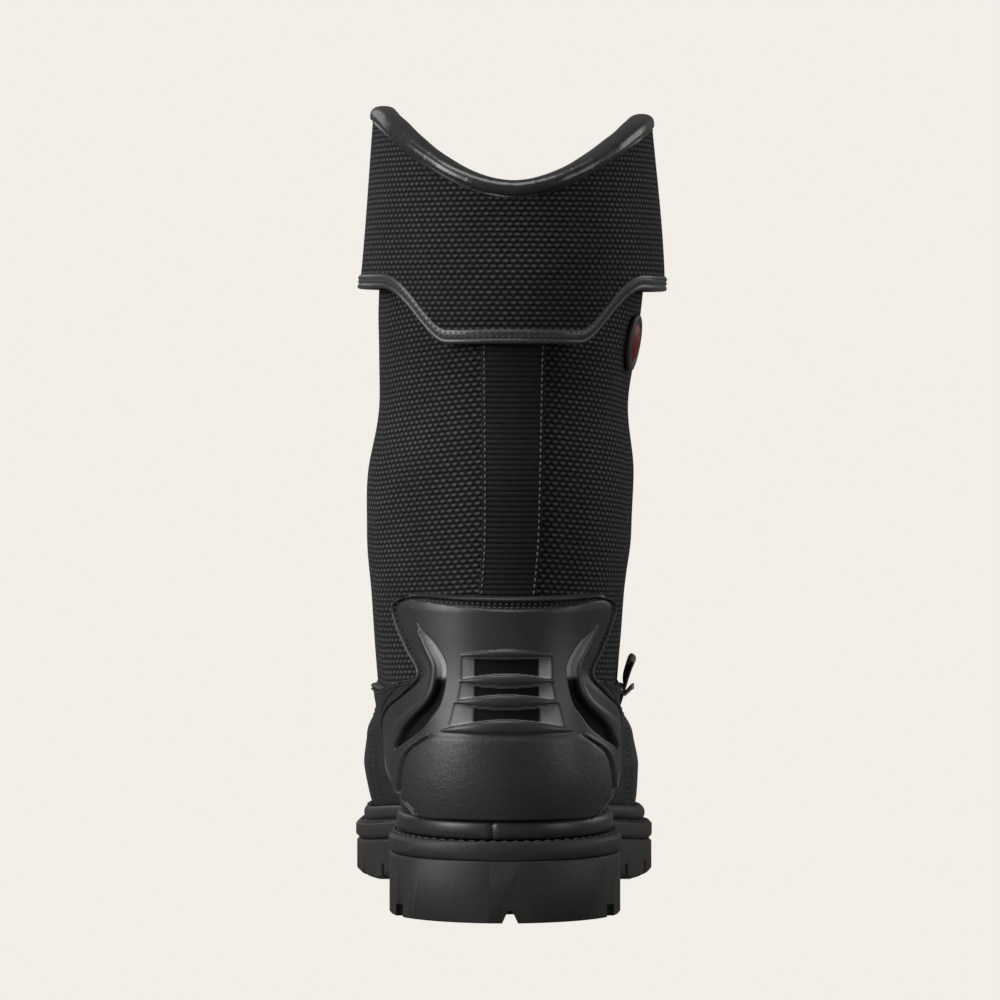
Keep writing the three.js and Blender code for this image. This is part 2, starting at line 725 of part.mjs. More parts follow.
function counterOuter(angle, h) {
  const { y } = form(angle, h);
  const rim = smoothstep(counterReach(h) - y, 0, 8) * smoothstep(up(counter.height) - h, 0, 7);
  return Math.max(counterInner(angle, h) + 1.6, lerp(3.9, gap + counter.thickness, rim));
}

/** A rib window: a bar with a bowed upper edge, cut right through the counter. */
function ribWindow(rise, topHalf, bottomHalf, height) {
  const low = up(rise);
  const shape = new THREE.Shape();
  shape.moveTo(-bottomHalf, low);
  shape.lineTo(bottomHalf, low);
  shape.lineTo(topHalf, low + height);
  shape.quadraticCurveTo(0, low + height + 1.6, -topHalf, low + height);
  shape.closePath();
  return new THREE.ExtrudeGeometry(shape, { depth: 30, bevelEnabled: false, curveSegments: 4 })
    .rotateX(Math.PI / 2)
    .translate(seamAt(low), 30, 0);
}

function buildCounter() {
  const levels = even(up(counter.bottom), up(counter.height), 15);
  const rows = strip(levels, (h) => -counterEdge(h), counterEdge, 18, counterInner, counterOuter);
  const windows = [
    ribWindow(65, 17, 17.5, 5),
    ribWindow(55.5, 17.5, 18.5, 5.5),
    ribWindow(46.5, 19, 21.5, 5.5),
  ];
  return cut(shell(rows), windows);
}

// ---------------------------------------------------------------- upper
function buildFoot() {
  const { smoothLeather, mouldedRubber, foam, steel } = materials;
  const seam = { low: [188, up(-8)], high: [150, quarterTop + 12] };
  const ahead = ([y, z], by) => [y + by, z];

  const leatherLow = ring(rowsBetween(up(2), quarterTop), fixed(outerLow), fixed(outerHigh));
  for (const [side, from, to] of [["medial", -far, 0], ["lateral", 0, far]]) {
    const rear = even(up(-8), quarterTop + 12, 14).map((h) => [counterReach(h) - 9, h]);
    const corners = [...rear, seam.high, seam.low];
    add(`quarter_${side}`, within(leatherLow, sidePrism(corners, from, to)), smoothLeather);
  }
  const vamp = ring(rowsBetween(up(2), up(66)), fixed(outerLow), fixed(outerHigh));
  const vampSide = beside(ahead(seam.low, gap), ahead(seam.high, gap), 2 * far);
  add("vamp", within(vamp, sidePrism(vampSide, -far, far)), smoothLeather);

  const baseLow = ring(rowsBetween(up(4), clothEdge - 1), fixed(-base.thickness), fixed(0));
  add("heel_stiffener", section(baseLow, -far, 72), materials.board);
  add("ankle_foam_medial", section(baseLow, 76, 140, -far, 0), foam);
  add("ankle_foam_lateral", section(baseLow, 76, 140, 0, far), foam);
  const capEdge = sole.length - toeCap.setback;
  add("steel_toe_cap", section(baseLow, capEdge, 2 * far), steel);

  const bumper = ring(
    rowsBetween(up(welt.height + 2), up(36)), fixed(outerHigh + gap), fixed(outerHigh + gap + 2),
  );
  add("toe_bumper", section(bumper, sole.length - 72, 2 * far), mouldedRubber);
}

function buildShaft() {
  const { wovenCloth, smoothLeather, mouldedRubber, webbing, foam } = materials;
  add("lining_bootie", ring(rowsToTop(up(2)), liningInner, liningOuter), materials.liningCloth);

  const cloth = ring(rowsToTop(clothEdge), fixed(-base.thickness), fixed(0));
  add("shaft_medial", section(cloth, -far, 2 * far, -far, -gap / 2), wovenCloth);
  add("shaft_lateral", section(cloth, -far, 2 * far, gap / 2, far), wovenCloth);

  /** A panel over the front of the boot, as many columns wide as it is told. */
  const frontPanel = (levels, columns, inner, outer) => {
    const half = (columns * COLUMN_STEP) / 2;
    const angles = turn(180 - half, 180 + half);
    return shell(patch(angles, levels, fixed(inner), fixed(outer)));
  };
  const padDepth = -base.thickness - gap;
  add("shin_pad", frontPanel(
    rowsBetween(pad.low, pad.high), 6, padDepth - pad.thickness, padDepth,
  ), foam);
  add("instep_flex_panel", frontPanel(
    rowsBetween(up(67), up(100)), 8, outerLow, outerHigh + 0.4,
  ), mouldedRubber);
  add("shin_guard", frontPanel(
    rowsBetween(up(101), tabBottom + 14), 8, outerLow, outerHigh,
  ), smoothLeather);

  const strapEdge = (h) => angleAtX(h, strap.width / 2);
  add("back_strap", shell(strip(
    rowsBetween(up(86), tabBottom + 14), (h) => -strapEdge(h), strapEdge, 4,
    fixed(outerLow), fixed(outerLow + strap.thickness),
  )), webbing);
  const backingEdge = (h) => angleAtX(h, backing.half);
  add("counter_backing", shell(strip(
    rowsBetween(backing.low, backing.high), (h) => -backingEdge(h), backingEdge, 8,
    fixed(outerLow), fixed(outerLow + counter.ribDepth),
  )), materials.glossRubber);
  add("heel_counter", buildCounter(), mouldedRubber);
}

// ---------------------------------------------------------------- collar, flaps and trims
const slit = 0.4; // degrees of clearance beside a flap
const hingeGap = 0.8;

/** A hem tape under an edge that the given angles follow. */
function tape(angles, edge) {
  const lap = 0.4; // how far the tape stands out beyond the cloth it binds
  return loft(
    angles.map((angle) => {
      const h = edge(angle) - fine;
      const inner = collarDepth(angle, h);
      const outer = collarOuter(angle, h) + lap;
      return [
        skin(angle, h, inner),
        skin(angle, h, outer),
        skin(angle, h - 0.7 * hem.height, outer),
        skin(angle, h - hem.height, (inner + outer) / 2),
        skin(angle, h - 0.7 * hem.height, inner),
      ];
    }),
  );
}

function buildCollar() {
  const { wovenCloth, bindingLeather } = materials;
  const back = turn(-flap.from, flap.from, 10);
  const front = turn(flap.to, 360 - flap.to, 10);
  const gapped = (from, to) => turn(from + slit, to - slit, 13);
  const edges = [
    ...back,
    ...gapped(flap.from, flap.to),
    ...front,
    ...gapped(360 - flap.to, 360 - flap.from),
  ];
  const lower = (angle) => {
    const degrees = THREE.MathUtils.radToDeg(Math.acos(Math.cos(angle)));
    const inFlap = degrees > flap.from + slit / 2 && degrees < flap.to - slit / 2;
    return inFlap ? hingeHeight + hingeGap : collarEdge(angle);
  };
  const levels = even(0, 1, 5).map((share) => (angle) => lerp(lower(angle), topEdge(angle), share));
  add("collar_panel", shell(patch(edges, levels, collarDepth, collarOuter), true), wovenCloth);

  for (const [side, sign] of [["medial", -1], ["lateral", 1]]) {
    const angles = turn(sign * (flap.from + 2 * slit), sign * (flap.to - 2 * slit), 10);
    const flapLevels = even(0, 1, 4).map((share) => (a) => lerp(collarEdge(a), hingeHeight, share));
    const cloth = shell(patch(angles, flapLevels, collarDepth, collarOuter));
    add(`pull_flap_${side}`, cloth, wovenCloth);
    add(`flap_hem_${side}`, tape(angles, collarEdge), bindingLeather);
  }
  add("hem_back", tape(back, collarEdge), bindingLeather);
  add("hem_front", tape(front, collarEdge), bindingLeather);

  const inner = -base.thickness - gap - lining.thickness - binding.overhang;
  const outer = gap + collar.thickness + binding.overhang;
  const middle = (inner + outer) / 2;
  const half = (outer - inner) / 2;
  const corners = even(0, 2 * Math.PI, 10).slice(0, -1);
  add("top_binding", loft(
    turn(-180, 172, 8).map((angle) =>
      corners.map((a) => skin(
        angle,
        topEdge(angle) + fine + (binding.height / 2) * (1 - Math.cos(a)),
        middle + half * Math.sin(a),
      ))),
    true,
  ), bindingLeather);
}

/** An oval plate on the shaft, centred at a height, between two depths. */
function oval(angleDegrees, h, halfAcross, halfHigh, low, high) {
  const centre = radians(angleDegrees);
  const out = skin(centre, h, 1).sub(form(centre, h)).normalize();
  const plate = new THREE.CylinderGeometry(1, 1, high - low, 20).scale(halfAcross, 1, halfHigh);
  const mesh = new THREE.Mesh(plate);
  const across = new THREE.Vector3(0, 0, 1).cross(out).normalize();
  const upward = across.clone().cross(out);
  mesh.matrix.makeBasis(across, out, upward);
  mesh.matrix.setPosition(form(centre, h).addScaledVector(out, (low + high) / 2));
  return plate.applyMatrix4(mesh.matrix);
}

function buildTrims() {
  const sagitta = 1.1; // how far a flat plate's rim stands off the curved shaft
  const { angle, halfWidth: across, halfHeight: high, inlay, thickness } = badge;
  const middle = flapBottom - badge.drop;
  const low = sagitta - 0.4;
  const face = low + thickness;
  add("side_badge", oval(angle, middle, across, high, low, face), materials.mouldedRubber);
  add("badge_insert", oval(
    angle, middle, inlay * across, inlay * high, face + fine, face + fine + 0.7,
  ), materials.badgeRed);

  const foot = up(label.rise);
  const standOff = (_, h) => outerHigh + gap + (h - foot) * Math.tan(radians(label.lean));
  const tag = shell(patch(
    turn(label.angle - label.spread, label.angle + label.spread, label.spread),
    [foot, foot + label.height / 2, foot + label.height],
    standOff,
    (angle, h) => standOff(angle, h) + label.thickness,
  ));
  add("side_label", tag, materials.labelCloth);
}

buildBottomUnit();
buildFoot();
buildShaft();
buildCollar();
buildTrims();

export default boot;
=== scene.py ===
"""The looks of a pull-on firefighting boot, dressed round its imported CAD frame.

Lengths are millimetres, as in the CAD source, and become metres when a mesh is made. The boot form
is the CAD source's own: a point is named by its angle round the boot, 0 at the back seam and
positive on the lateral side, and by the height of its section at the back seam.
"""

from __future__ import annotations

import logging
import math
from dataclasses import dataclass
from enum import Enum
from typing import Callable, Sequence

import bpy
import numpy as np
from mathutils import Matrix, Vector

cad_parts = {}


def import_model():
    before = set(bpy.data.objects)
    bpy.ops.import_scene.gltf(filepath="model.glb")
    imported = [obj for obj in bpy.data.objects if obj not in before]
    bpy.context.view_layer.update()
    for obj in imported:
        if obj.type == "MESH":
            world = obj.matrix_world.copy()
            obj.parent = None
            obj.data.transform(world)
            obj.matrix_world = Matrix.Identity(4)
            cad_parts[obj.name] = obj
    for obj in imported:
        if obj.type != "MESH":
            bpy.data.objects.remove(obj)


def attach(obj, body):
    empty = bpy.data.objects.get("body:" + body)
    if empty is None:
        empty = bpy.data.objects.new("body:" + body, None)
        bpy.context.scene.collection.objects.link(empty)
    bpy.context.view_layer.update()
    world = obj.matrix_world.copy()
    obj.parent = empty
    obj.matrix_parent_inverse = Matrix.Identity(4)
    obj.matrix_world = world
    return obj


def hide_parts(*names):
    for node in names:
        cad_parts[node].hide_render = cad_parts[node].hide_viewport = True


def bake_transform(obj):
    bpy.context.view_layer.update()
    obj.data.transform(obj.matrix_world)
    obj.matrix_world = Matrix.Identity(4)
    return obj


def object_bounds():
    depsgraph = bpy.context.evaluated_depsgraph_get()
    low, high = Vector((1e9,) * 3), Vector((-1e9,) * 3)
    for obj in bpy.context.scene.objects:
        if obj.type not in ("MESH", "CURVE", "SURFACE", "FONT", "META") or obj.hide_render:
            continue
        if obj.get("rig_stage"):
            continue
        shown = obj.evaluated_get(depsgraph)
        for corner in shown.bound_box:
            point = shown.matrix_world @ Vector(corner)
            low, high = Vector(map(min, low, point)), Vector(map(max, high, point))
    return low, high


Array = np.ndarray
Line = Callable[[Array], Array]  # a value for each height, angle or share
Field = Callable[[Array, Array], Array]  # a value for each angle and height
log = logging.getLogger("boot")

# ------------------------------------------------------------------ sizes shared by the pieces
GAP = 0.5
FINE = 0.3
SOLE_LENGTH = 325.0
TOE_SWING = 7.0
SEAT_HEIGHT = 31.8  # top of the midsole at the heel
SEAT_DROP = 10.0
TOE_SPRING = 7.0
LEATHER = 2.0
CLOTH = 2.2
LINING = 3.8
SHAFT_HALF = 54.0
SHAFT_FRONT = 157.0
PEAK_HEIGHT = 316.0
FLAP_BOTTOM = 250.0
TAB_BOTTOM = 228.0
COLLAR_THICKNESS = 1.9
COLLAR_FLARE = 6.6
MEDIAL_FLARE_SHARE = 0.84
BACK_DIP = 31.0  # how far the top edge dips below its side peaks
FRONT_DIP = 27.0
PEAK_LEAN = 1.6  # how much lower the lateral peak is than the medial one, halved
TURN = 2 * math.pi
STEP = 0.01  # small turn for slopes, in radians
MM = 0.001


class Body(str, Enum):
    """The CAD bodies that pieces ride on."""

    BOOT = "boot"
    MEDIAL_FLAP = "flap_medial"
    LATERAL_FLAP = "flap_lateral"


class Side(Enum):
    """The two sides of a right boot, with the sign of their angles."""

    MEDIAL = -1
    LATERAL = 1

    @property
    def word(self) -> str:
        """The side's name as pieces use it."""
        return self.name.lower()

    @property
    def flap(self) -> Body:
        """The pull flap's body on this side."""
        return Body.MEDIAL_FLAP if self is Side.MEDIAL else Body.LATERAL_FLAP


# ------------------------------------------------------------------ small maths
def up(rise: float | Array) -> float | Array:
    """Height that lies rise above the heel seat."""
    return SEAT_HEIGHT + rise


def mix(a: float | Array, b: float | Array, t: float | Array) -> float | Array:
    """Straight mix of a and b."""
    return a + (b - a) * t


def ease(x: float | Array, low: float, high: float) -> Array:
    """0 below low, 1 above high, and a smooth S between them."""
    t = np.clip((x - low) / (high - low), 0.0, 1.0)
    return t * t * (3.0 - 2.0 * t)


def hump(x: Array, centre: float | Array, half: float) -> Array:
    """A smooth bump of height 1 at centre that falls to 0 at half away."""
    return np.clip(1.0 - ((x - centre) / half) ** 2, 0.0, 1.0) ** 1.5


def through(xs: Sequence[float], ys: Sequence[float | Array], x: float | Array) -> Array:
    """Smooth curve through points, level at both ends and held beyond them.

    Each inner point has the slope between its neighbours, and each span is the cubic that meets
    its ends and end slopes.

    Args:
        xs: Rising places of the points.
        ys: Value at each place, as numbers or as arrays that broadcast with x.
        x: Where the curve is wanted.

    Returns:
        The curve's value at each x.
    """
    x = np.asarray(x, float)
    last = len(xs) - 1
    slope = [
        0.0 if i in (0, last) else (ys[i + 1] - ys[i - 1]) / (xs[i + 1] - xs[i - 1])
        for i in range(last + 1)
    ]
    value = np.where(x < xs[0], ys[0], ys[last]) * np.ones_like(x)
    for i in range(last):
        span = xs[i + 1] - xs[i]
        t = (x - xs[i]) / span
        rise = ys[i + 1] - ys[i]
        a = slope[i] * span - rise
        b = rise - slope[i + 1] * span
        inside = (x >= xs[i]) & (x < xs[i + 1])
        value = np.where(inside, ys[i] + rise * t + t * (1 - t) * (a * (1 - t) + b * t), value)
    return value


def curve(table: Sequence[tuple[float, float]], x: Array) -> Array:
    """Smooth curve through pairs of a place and a value."""
    return through(*zip(*table), x)


def by_rise(table: Sequence[tuple[float, float]], h: Array) -> Array:
    """Smooth curve through pairs of a rise above the heel seat and a value, at heights h."""
    return curve([(up(rise), value) for rise, value in table], h)


def round_ends(s: Array, back_cap: float | Array, front_cap: float | Array) -> Array:
    """Rounds both ends of a section: 0 at its tips, 1 beyond the two cap lengths."""
    back = 1 - np.minimum(s / back_cap, 1)
    front = 1 - np.minimum((1 - s) / front_cap, 1)
    return np.sqrt(np.maximum(1 - back * back, 0)) * np.sqrt(np.maximum(1 - front * front, 0))


def rolled(off: Array, radius: float) -> Array:
    """Share of the full height at a distance from an edge that is rounded to a radius."""
    t = np.clip(off / radius, 0, 1)
    return np.sqrt(np.maximum(1 - (1 - t) ** 2, 0))


def unit(v: Array) -> Array:
    """Vectors scaled to length 1."""
    return v / np.maximum(np.linalg.norm(v, axis=-1, keepdims=True), 1e-9)


def crowded(count: int, size: float, edge: float) -> Array:
    """Shares from 0 to 1, even but with extra ones within edge of both ends.

    Args:
        count: Number of even spans.
        size: Length that the shares cover, in the same unit as edge.
        edge: Width of the band at each end that gets extra shares.

    Returns:
        The rising shares.
    """
    near = np.array([0.0, 0.08, 0.25, 0.5, 0.8, 1.0]) * edge / size
    middle = np.linspace(near[-1], 1 - near[-1], count + 1)[1:-1]
    return np.concatenate([near, middle, 1 - near[::-1]])


def run_length(points: Array, axis: int) -> Array:
    """Distance walked along an axis of a grid of points, starting at 0."""
    steps = np.linalg.norm(np.diff(points, axis=axis), axis=-1)
    pad = [(0, 0)] * steps.ndim
    pad[axis] = (1, 0)
    return np.pad(np.cumsum(steps, axis=axis), pad)


# ------------------------------------------------------------------ the boot form
class BootForm:
    """The closed form that every layer of the upper lies on.

    The shape of each section is given at fifteen heights and runs smoothly between them. A section
    is a line of stations from back to front with a half width at each, rounded at both ends.
    """

    STATIONS = (0, 0.14, 0.38, 0.64, 0.86, 1)
    BALL = 0.62 * SOLE_LENGTH
    BREAST = 97.0
    TOE = 0.79 * SOLE_LENGTH
    # rise, back, reach, lift, half widths at heel, waist, ball and toe, back cap, front cap
    FOOT = (
        (1, 11, 0.92, -4, 35.5, 32, 53, 43, 0.14, 0.21),
        (10, 7.6, 0.952, -3, 38.9, 35.8, 55.4, 46, 0.14, 0.21),
        (20, 6, 0.95, 0, 41.5, 39.4, 57, 48, 0.15, 0.22),
        (30, 6, 0.885, 2, 42.5, 42.6, 57, 47, 0.17, 0.26),
        (40, 7, 0.73, 3, 42.5, 45.6, 51, 40, 0.2, 0.34),
    )
    # the same, with the half widths as shares of the shaft's half width
    SHAFT = (
        (52, 9.5, 0.52, 4, 0.8, 0.9, 0.87, 0.65, 0.24, 0.4),
        (66, 12, 0.335, 7, 0.83, 0.92, 0.84, 0.68, 0.3, 0.45),
        (82, 13.5, 0.18, 9, 0.89, 0.94, 0.88, 0.78, 0.38, 0.48),
        (100, 14, 0.068, 6, 0.96, 0.97, 0.95, 0.9, 0.46, 0.5),
        (118, 14, 0.015, 2, 1, 1, 1, 0.99, 0.5, 0.5),
        (143, 14, 0, 0, 1, 1, 1, 1, 0.5, 0.5),
        (173, 16, 0, 0, 0.94, 0.94, 0.94, 0.94, 0.5, 0.5),
        (203, 15, 0.004, 0, 0.985, 0.985, 0.985, 0.985, 0.5, 0.5),
        (228, 13.5, 0.01, 0, 1, 1, 1, 1, 0.5, 0.5),
        (290, 11, 0.025, 0, 1.01, 1.01, 1.01, 1.01, 0.5, 0.5),
    )
    # the rest are pairs of a rise and a value
    SEAM = ((1, 0), (78, 0), (96, 1), (118, 2.6), (173, 3.2), (228, 3.5), (290, 3.3))
    LEAN = ((1, 0), (20, -1.5), (52, -3), (118, -2.4), (173, -0.3), (203, 1.6), (228, 3),
            (290, 3.2))
    SAG = ((1, 1), (10, 0.75), (20, 0.45), (30, 0.18), (42, 0))

    def __init__(self) -> None:
        """Puts the foot and shaft lines into one table of columns."""
        shaft = [(*line[:4], *(SHAFT_HALF * w for w in line[4:8]), *line[8:])
                 for line in self.SHAFT]
        self.columns = list(zip(*self.FOOT, *shaft))
        self.heights = [up(rise) for rise in self.columns[0]]

    def _at(self, column: int, h: Array) -> Array:
        """A column of the table at each height."""
        return through(self.heights, self.columns[column], h)

    def back_at(self, h: Array) -> Array:
        """How far ahead of the heel's rear edge a section starts."""
        return self._at(1, h)

    def front_at(self, h: Array) -> Array:
        """How far ahead of the heel's rear edge a section ends."""
        return SHAFT_FRONT + (SOLE_LENGTH - SHAFT_FRONT) * self._at(2, h)

    def seat(self, y: Array) -> Array:
        """Height of the midsole's top: level at the heel, lower at the ball, up at the toe."""
        low = SEAT_HEIGHT - SEAT_DROP
        waist = 0.55  # share of the way from the breast to the ball, and of the drop
        profile = ((0, SEAT_HEIGHT), (self.BREAST, SEAT_HEIGHT),
                   (mix(self.BREAST, self.BALL, waist), SEAT_HEIGHT - waist * SEAT_DROP),
                   (self.BALL, low), (self.TOE, low), (SOLE_LENGTH, low + TOE_SPRING))
        return curve(profile, y)

    def seam_at(self, h: Array) -> Array:
        """Where the back seam runs across the boot."""
        return by_rise(self.SEAM, h)

    def half_width(self, s: Array, h: Array) -> Array:
        """Half width of the section at height h, at share s from back to front."""
        heel, waist, ball, toe = (self._at(4 + i, h) for i in range(4))
        side = through(self.STATIONS, [heel, heel, waist, ball, toe, toe], s)
        return side * round_ends(s, self._at(8, h), self._at(9, h))

    def point(self, angle: Array, h: Array) -> Array:
        """Points of the form: station by the angle's cosine, side by its sign.

        The centre line leans with height, swings inwards at the toe, and the lowest sections sag
        with the midsole's profile.
        """
        angle, h = np.broadcast_arrays(np.asarray(angle, float), np.asarray(h, float))
        s = (1 - np.cos(angle)) / 2
        y = mix(self.back_at(h), self.front_at(h), s)
        lean = mix(self.seam_at(h), by_rise(self.LEAN, h), ease(s, 0, 0.4))
        swing = -TOE_SWING * ease(y, self.BALL, SOLE_LENGTH)
        x = lean + swing * ease(up(66) - h, 0, 30)
        straight = mix(h, h + self._at(3, h), s)
        lowest = mix(up(1), up(1) - 4, s)
        z = straight - by_rise(self.SAG, h) * (lowest - self.seat(y) - 1)
        return np.stack([x + np.sign(np.sin(angle)) * self.half_width(s, h), y, z], -1)

    def normal(self, angle: Array, h: Array) -> Array:
        """Outward unit normals, from short steps round and up the form."""
        upward = self.point(angle, h + 0.5) - self.point(angle, h - 0.5)
        return unit(np.cross(self.around(angle, h, STEP), upward))

    def around(self, angle: Array, h: Array, step: float) -> Array:
        """The chord of the form from a small step behind an angle to one ahead of it."""
        return self.point(angle + step, h) - self.point(angle - step, h)

    def speed(self, angle: Array, h: Array) -> Array:
        """Distance along the form for each radian."""
        return np.linalg.norm(self.around(angle, h, STEP), axis=-1) / (2 * STEP)

    def outward(self, angle: Array) -> Array:
        """Level directions out of the boot at its foot."""
        along = self.around(angle, up(1), 2 * STEP)
        return unit(np.stack([along[:, 1], -along[:, 0], 0 * angle], -1))

    def skin(self, angle: Array, h: Array, depth: float | Array) -> Array:
        """The points that lie depth outside the form."""
        angle, h, depth = np.broadcast_arrays(angle, h, np.asarray(depth, float))
        return self.point(angle, h) + depth[..., None] * self.normal(angle, h)

    def angle_at_y(self, h: Array, y: Array) -> Array:
        """The angle at which the section at height h reaches y."""
        s = (y - self.back_at(h)) / (self.front_at(h) - self.back_at(h))
        return np.arccos(1 - 2 * np.clip(s, 0.0005, 0.9995))

    def angle_at_x(self, h: Array, x: float | Array) -> Array:
        """The angle near the back seam at which the form is x from its centre line.

        Halves the range from the seam to the side thirty times.
        """
        h = np.asarray(h, float)
        low = np.zeros_like(h)
        high = np.full_like(h, math.pi / 2)
        for _ in range(30):
            middle = (low + high) / 2
            short = self.half_width((1 - np.cos(middle)) / 2, h) < x
            low = np.where(short, middle, low)
            high = np.where(short, high, middle)
        return low


FORM = BootForm()


def peak_share(angle: Array) -> Array:
    """Share of the way from the dips to the side peaks."""
    return (np.sin(angle) ** 2) ** 0.92


def top_edge(angle: Array) -> Array:
    """Height of the cloth's top edge: high at the sides, dipping at back and front."""
    dip = np.where(np.cos(angle) > 0, BACK_DIP, FRONT_DIP)
    side = peak_share(angle)
    return PEAK_HEIGHT - PEAK_LEAN * np.sin(angle) * side - dip * (1 - side)


def collar_edge(angle: Array) -> Array:
    """Height of the collar's lower edge: a tab at back and front, the flaps at the sides."""
    return mix(TAB_BOTTOM, FLAP_BOTTOM, ease(np.abs(np.sin(angle)) * SHAFT_HALF, 24, 46))


def collar_depth(angle: Array, h: Array) -> Array:
    """Depth of the collar's inner face: over the strap at the tabs, standing off at the flaps."""
    down = np.clip((top_edge(angle) - h) / (PEAK_HEIGHT - FLAP_BOTTOM), 0, 1.2)
    side = ease(np.abs(np.sin(angle)), 0.6, 0.95)
    tab = mix(GAP, LEATHER + 2 * GAP, ease(down, 0.1, 0.5))
    flare = COLLAR_FLARE * mix(MEDIAL_FLARE_SHARE, 1.0, np.sin(angle) > 0)
    return mix(tab, GAP + flare * down, side)


# ------------------------------------------------------------------ meshes
@dataclass
class Shell:
    """A mesh in the making: points in millimetres, faces, and a flat layout for patterns.

    The layout's first number runs round the boot and its second up it, both in metres.
    """

    points: Array
    faces: list[Sequence[int]]
    layout: Array  # one pair for each face corner
    masks: dict[str, Array] | None = None  # named 0 to 1 values for each point

    @staticmethod
    def quads(rows: int, cols: int, wrap: bool) -> tuple[Array, Array]:
        """Corner numbers of a grid's faces, in its points and in its layout.

        A wrapped grid has one more column in its layout than in its points.
        """
        spans = cols if wrap else cols - 1
        width = cols + 1 if wrap else cols
        i, j = np.meshgrid(np.arange(rows - 1), np.arange(spans), indexing="ij")
        k = (j + 1) % cols
        faces = np.stack([i * cols + j, i * cols + k, (i + 1) * cols + k, (i + 1) * cols + j], -1)
        flat = np.stack([i * width + j, i * width + j + 1, (i + 1) * width + j + 1,
                         (i + 1) * width + j], -1)
        return faces.reshape(-1, 4), flat.reshape(-1, 4)

    @classmethod
    def between(cls, outer: Array, inner: Array, wrap: bool = False, layout: Array | None = None,
                masks: dict[str, Array] | None = None) -> Shell:
        """Closed shell between two grids of points that face each other.

        Args:
            outer: Rows by columns of points on the outer side.
            inner: The same on the inner side.
            wrap: Whether the columns close into a ring.
            layout: Flat places of the grid's points, one more column where it wraps.
            masks: Named values on the outer grid. The inner side gets the same ones.

        Returns:
            The shell, with its two sides joined along every open edge.
        """
        rows, cols = outer.shape[:2]
        quads, flat = cls.quads(rows, cols, wrap)
        if layout is None:
            layout = cls.measure(outer, wrap)
        count, width = rows * cols, layout.shape[1]
        columns = np.arange(cols if wrap else cols - 1)
        following = (columns + 1) % cols
        strips, strip_flat = [], []
        for row, turn in ((0, 1), (rows - 1, -1)):
            a, b = row * cols + columns, row * cols + following
            fa, fb = row * width + columns, row * width + columns + 1
            strips.append(np.stack([b, a, a + count, b + count], -1)[:, ::turn])
            strip_flat.append(np.stack([fb, fa, fa, fb], -1)[:, ::turn])
        if not wrap:
            steps = np.arange(rows - 1)
            for col, turn in ((0, 1), (cols - 1, -1)):
                a, b = steps * cols + col, (steps + 1) * cols + col
                strips.append(np.stack([a, b, b + count, a + count], -1)[:, ::turn])
                strip_flat.append(np.stack([a, b, b, a], -1)[:, ::turn])
        faces = np.concatenate([quads, quads[:, ::-1] + count, *strips])
        places = np.concatenate([flat, flat[:, ::-1], *strip_flat])
        points = np.concatenate([outer.reshape(-1, 3), inner.reshape(-1, 3)])
        doubled = {k: np.concatenate([v.ravel(), v.ravel()]) for k, v in (masks or {}).items()}
        return cls(points, faces.tolist(), layout.reshape(-1, 2)[places].reshape(-1, 2), doubled)

    @classmethod
    def tube(cls, rings: Array, wrap: bool = False) -> Shell:
        """Closed tube from rings of points carried along a path.

        Args:
            rings: Stations by ring points. Every ring closes on itself.
            wrap: Whether the last ring joins the first.

        Returns:
            The tube, capped by one face at each open end.
        """
        stations, size = rings.shape[:2]
        grid = np.concatenate([rings, rings[:1]]) if wrap else rings
        along = run_length(grid, 0).mean(1) * MM
        closed = np.concatenate([rings, rings[:, :1]], 1)
        across = run_length(closed, 1)[0] * MM
        layout = np.stack(np.broadcast_arrays(along[:, None], across[None, :]), -1)
        quads, flat = cls.quads(len(grid), size, True)
        faces = (quads % (stations * size)).tolist()
        places = layout.reshape(-1, 2)[flat].reshape(-1, 2)
        if not wrap:
            last = (stations - 1) * size
            faces += [list(range(size))[::-1], list(range(last, last + size))]
            places = np.concatenate([places, layout[0, :size][::-1], layout[-1, :size]])
        return cls(rings.reshape(-1, 3), faces, places)

    @staticmethod
    def measure(grid: Array, wrap: bool) -> Array:
        """Flat layout of a grid: distance walked along its rows and up its columns, in metres."""
        closed = np.concatenate([grid, grid[:, :1]], 1) if wrap else grid
        return np.stack([run_length(closed, 1), run_length(closed, 0)], -1) * MM

    def joined(self, other: Shell) -> Shell:
        """This mesh and another as one, without their masks."""
        shift = len(self.points)
        moved = [[i + shift for i in face] for face in other.faces]
        return Shell(np.concatenate([self.points, other.points]), [*self.faces, *moved],
                     np.concatenate([self.layout, other.layout]))

    def volume(self) -> float:
        """Signed volume of the mesh, above 0 where its faces point outwards."""
        corners = np.array([(f[0], f[i], f[i + 1])
                            for f in self.faces for i in range(1, len(f) - 1)])
        a, b, c = (self.points[corners[:, i]] for i in range(3))
        return float(np.einsum("ij,ij->", a, np.cross(b, c)) / 6)

    def mesh(self, name: str, sharp: float) -> bpy.types.Mesh:
        """Blender mesh in metres, with its layout, its masks and its faces turned outwards."""
        faces, layout = self.faces, self.layout
        if self.volume() < 0:
            faces = [f[::-1] for f in faces]
            sizes = np.array([len(f) for f in faces])
            start = np.repeat(np.cumsum(sizes) - sizes, sizes)
            within = np.arange(sizes.sum()) - start
            layout = layout[start + np.repeat(sizes, sizes) - 1 - within]
        world = (self.points - np.array([0, SOLE_LENGTH / 2, 0])) * MM
        mesh = bpy.data.meshes.new(name)
        mesh.from_pydata(world.tolist(), [], faces)
        flat = mesh.uv_layers.new(name="layout").data
        flat.foreach_set("uv", layout.astype(np.float32).ravel())
        for mask, values in (self.masks or {}).items():
            data = mesh.attributes.new(mask, "FLOAT", "POINT").data
            data.foreach_set("value", values.astype(np.float32))
        mesh.shade_smooth()
        mesh.set_sharp_from_angle(angle=math.radians(sharp))
        return mesh


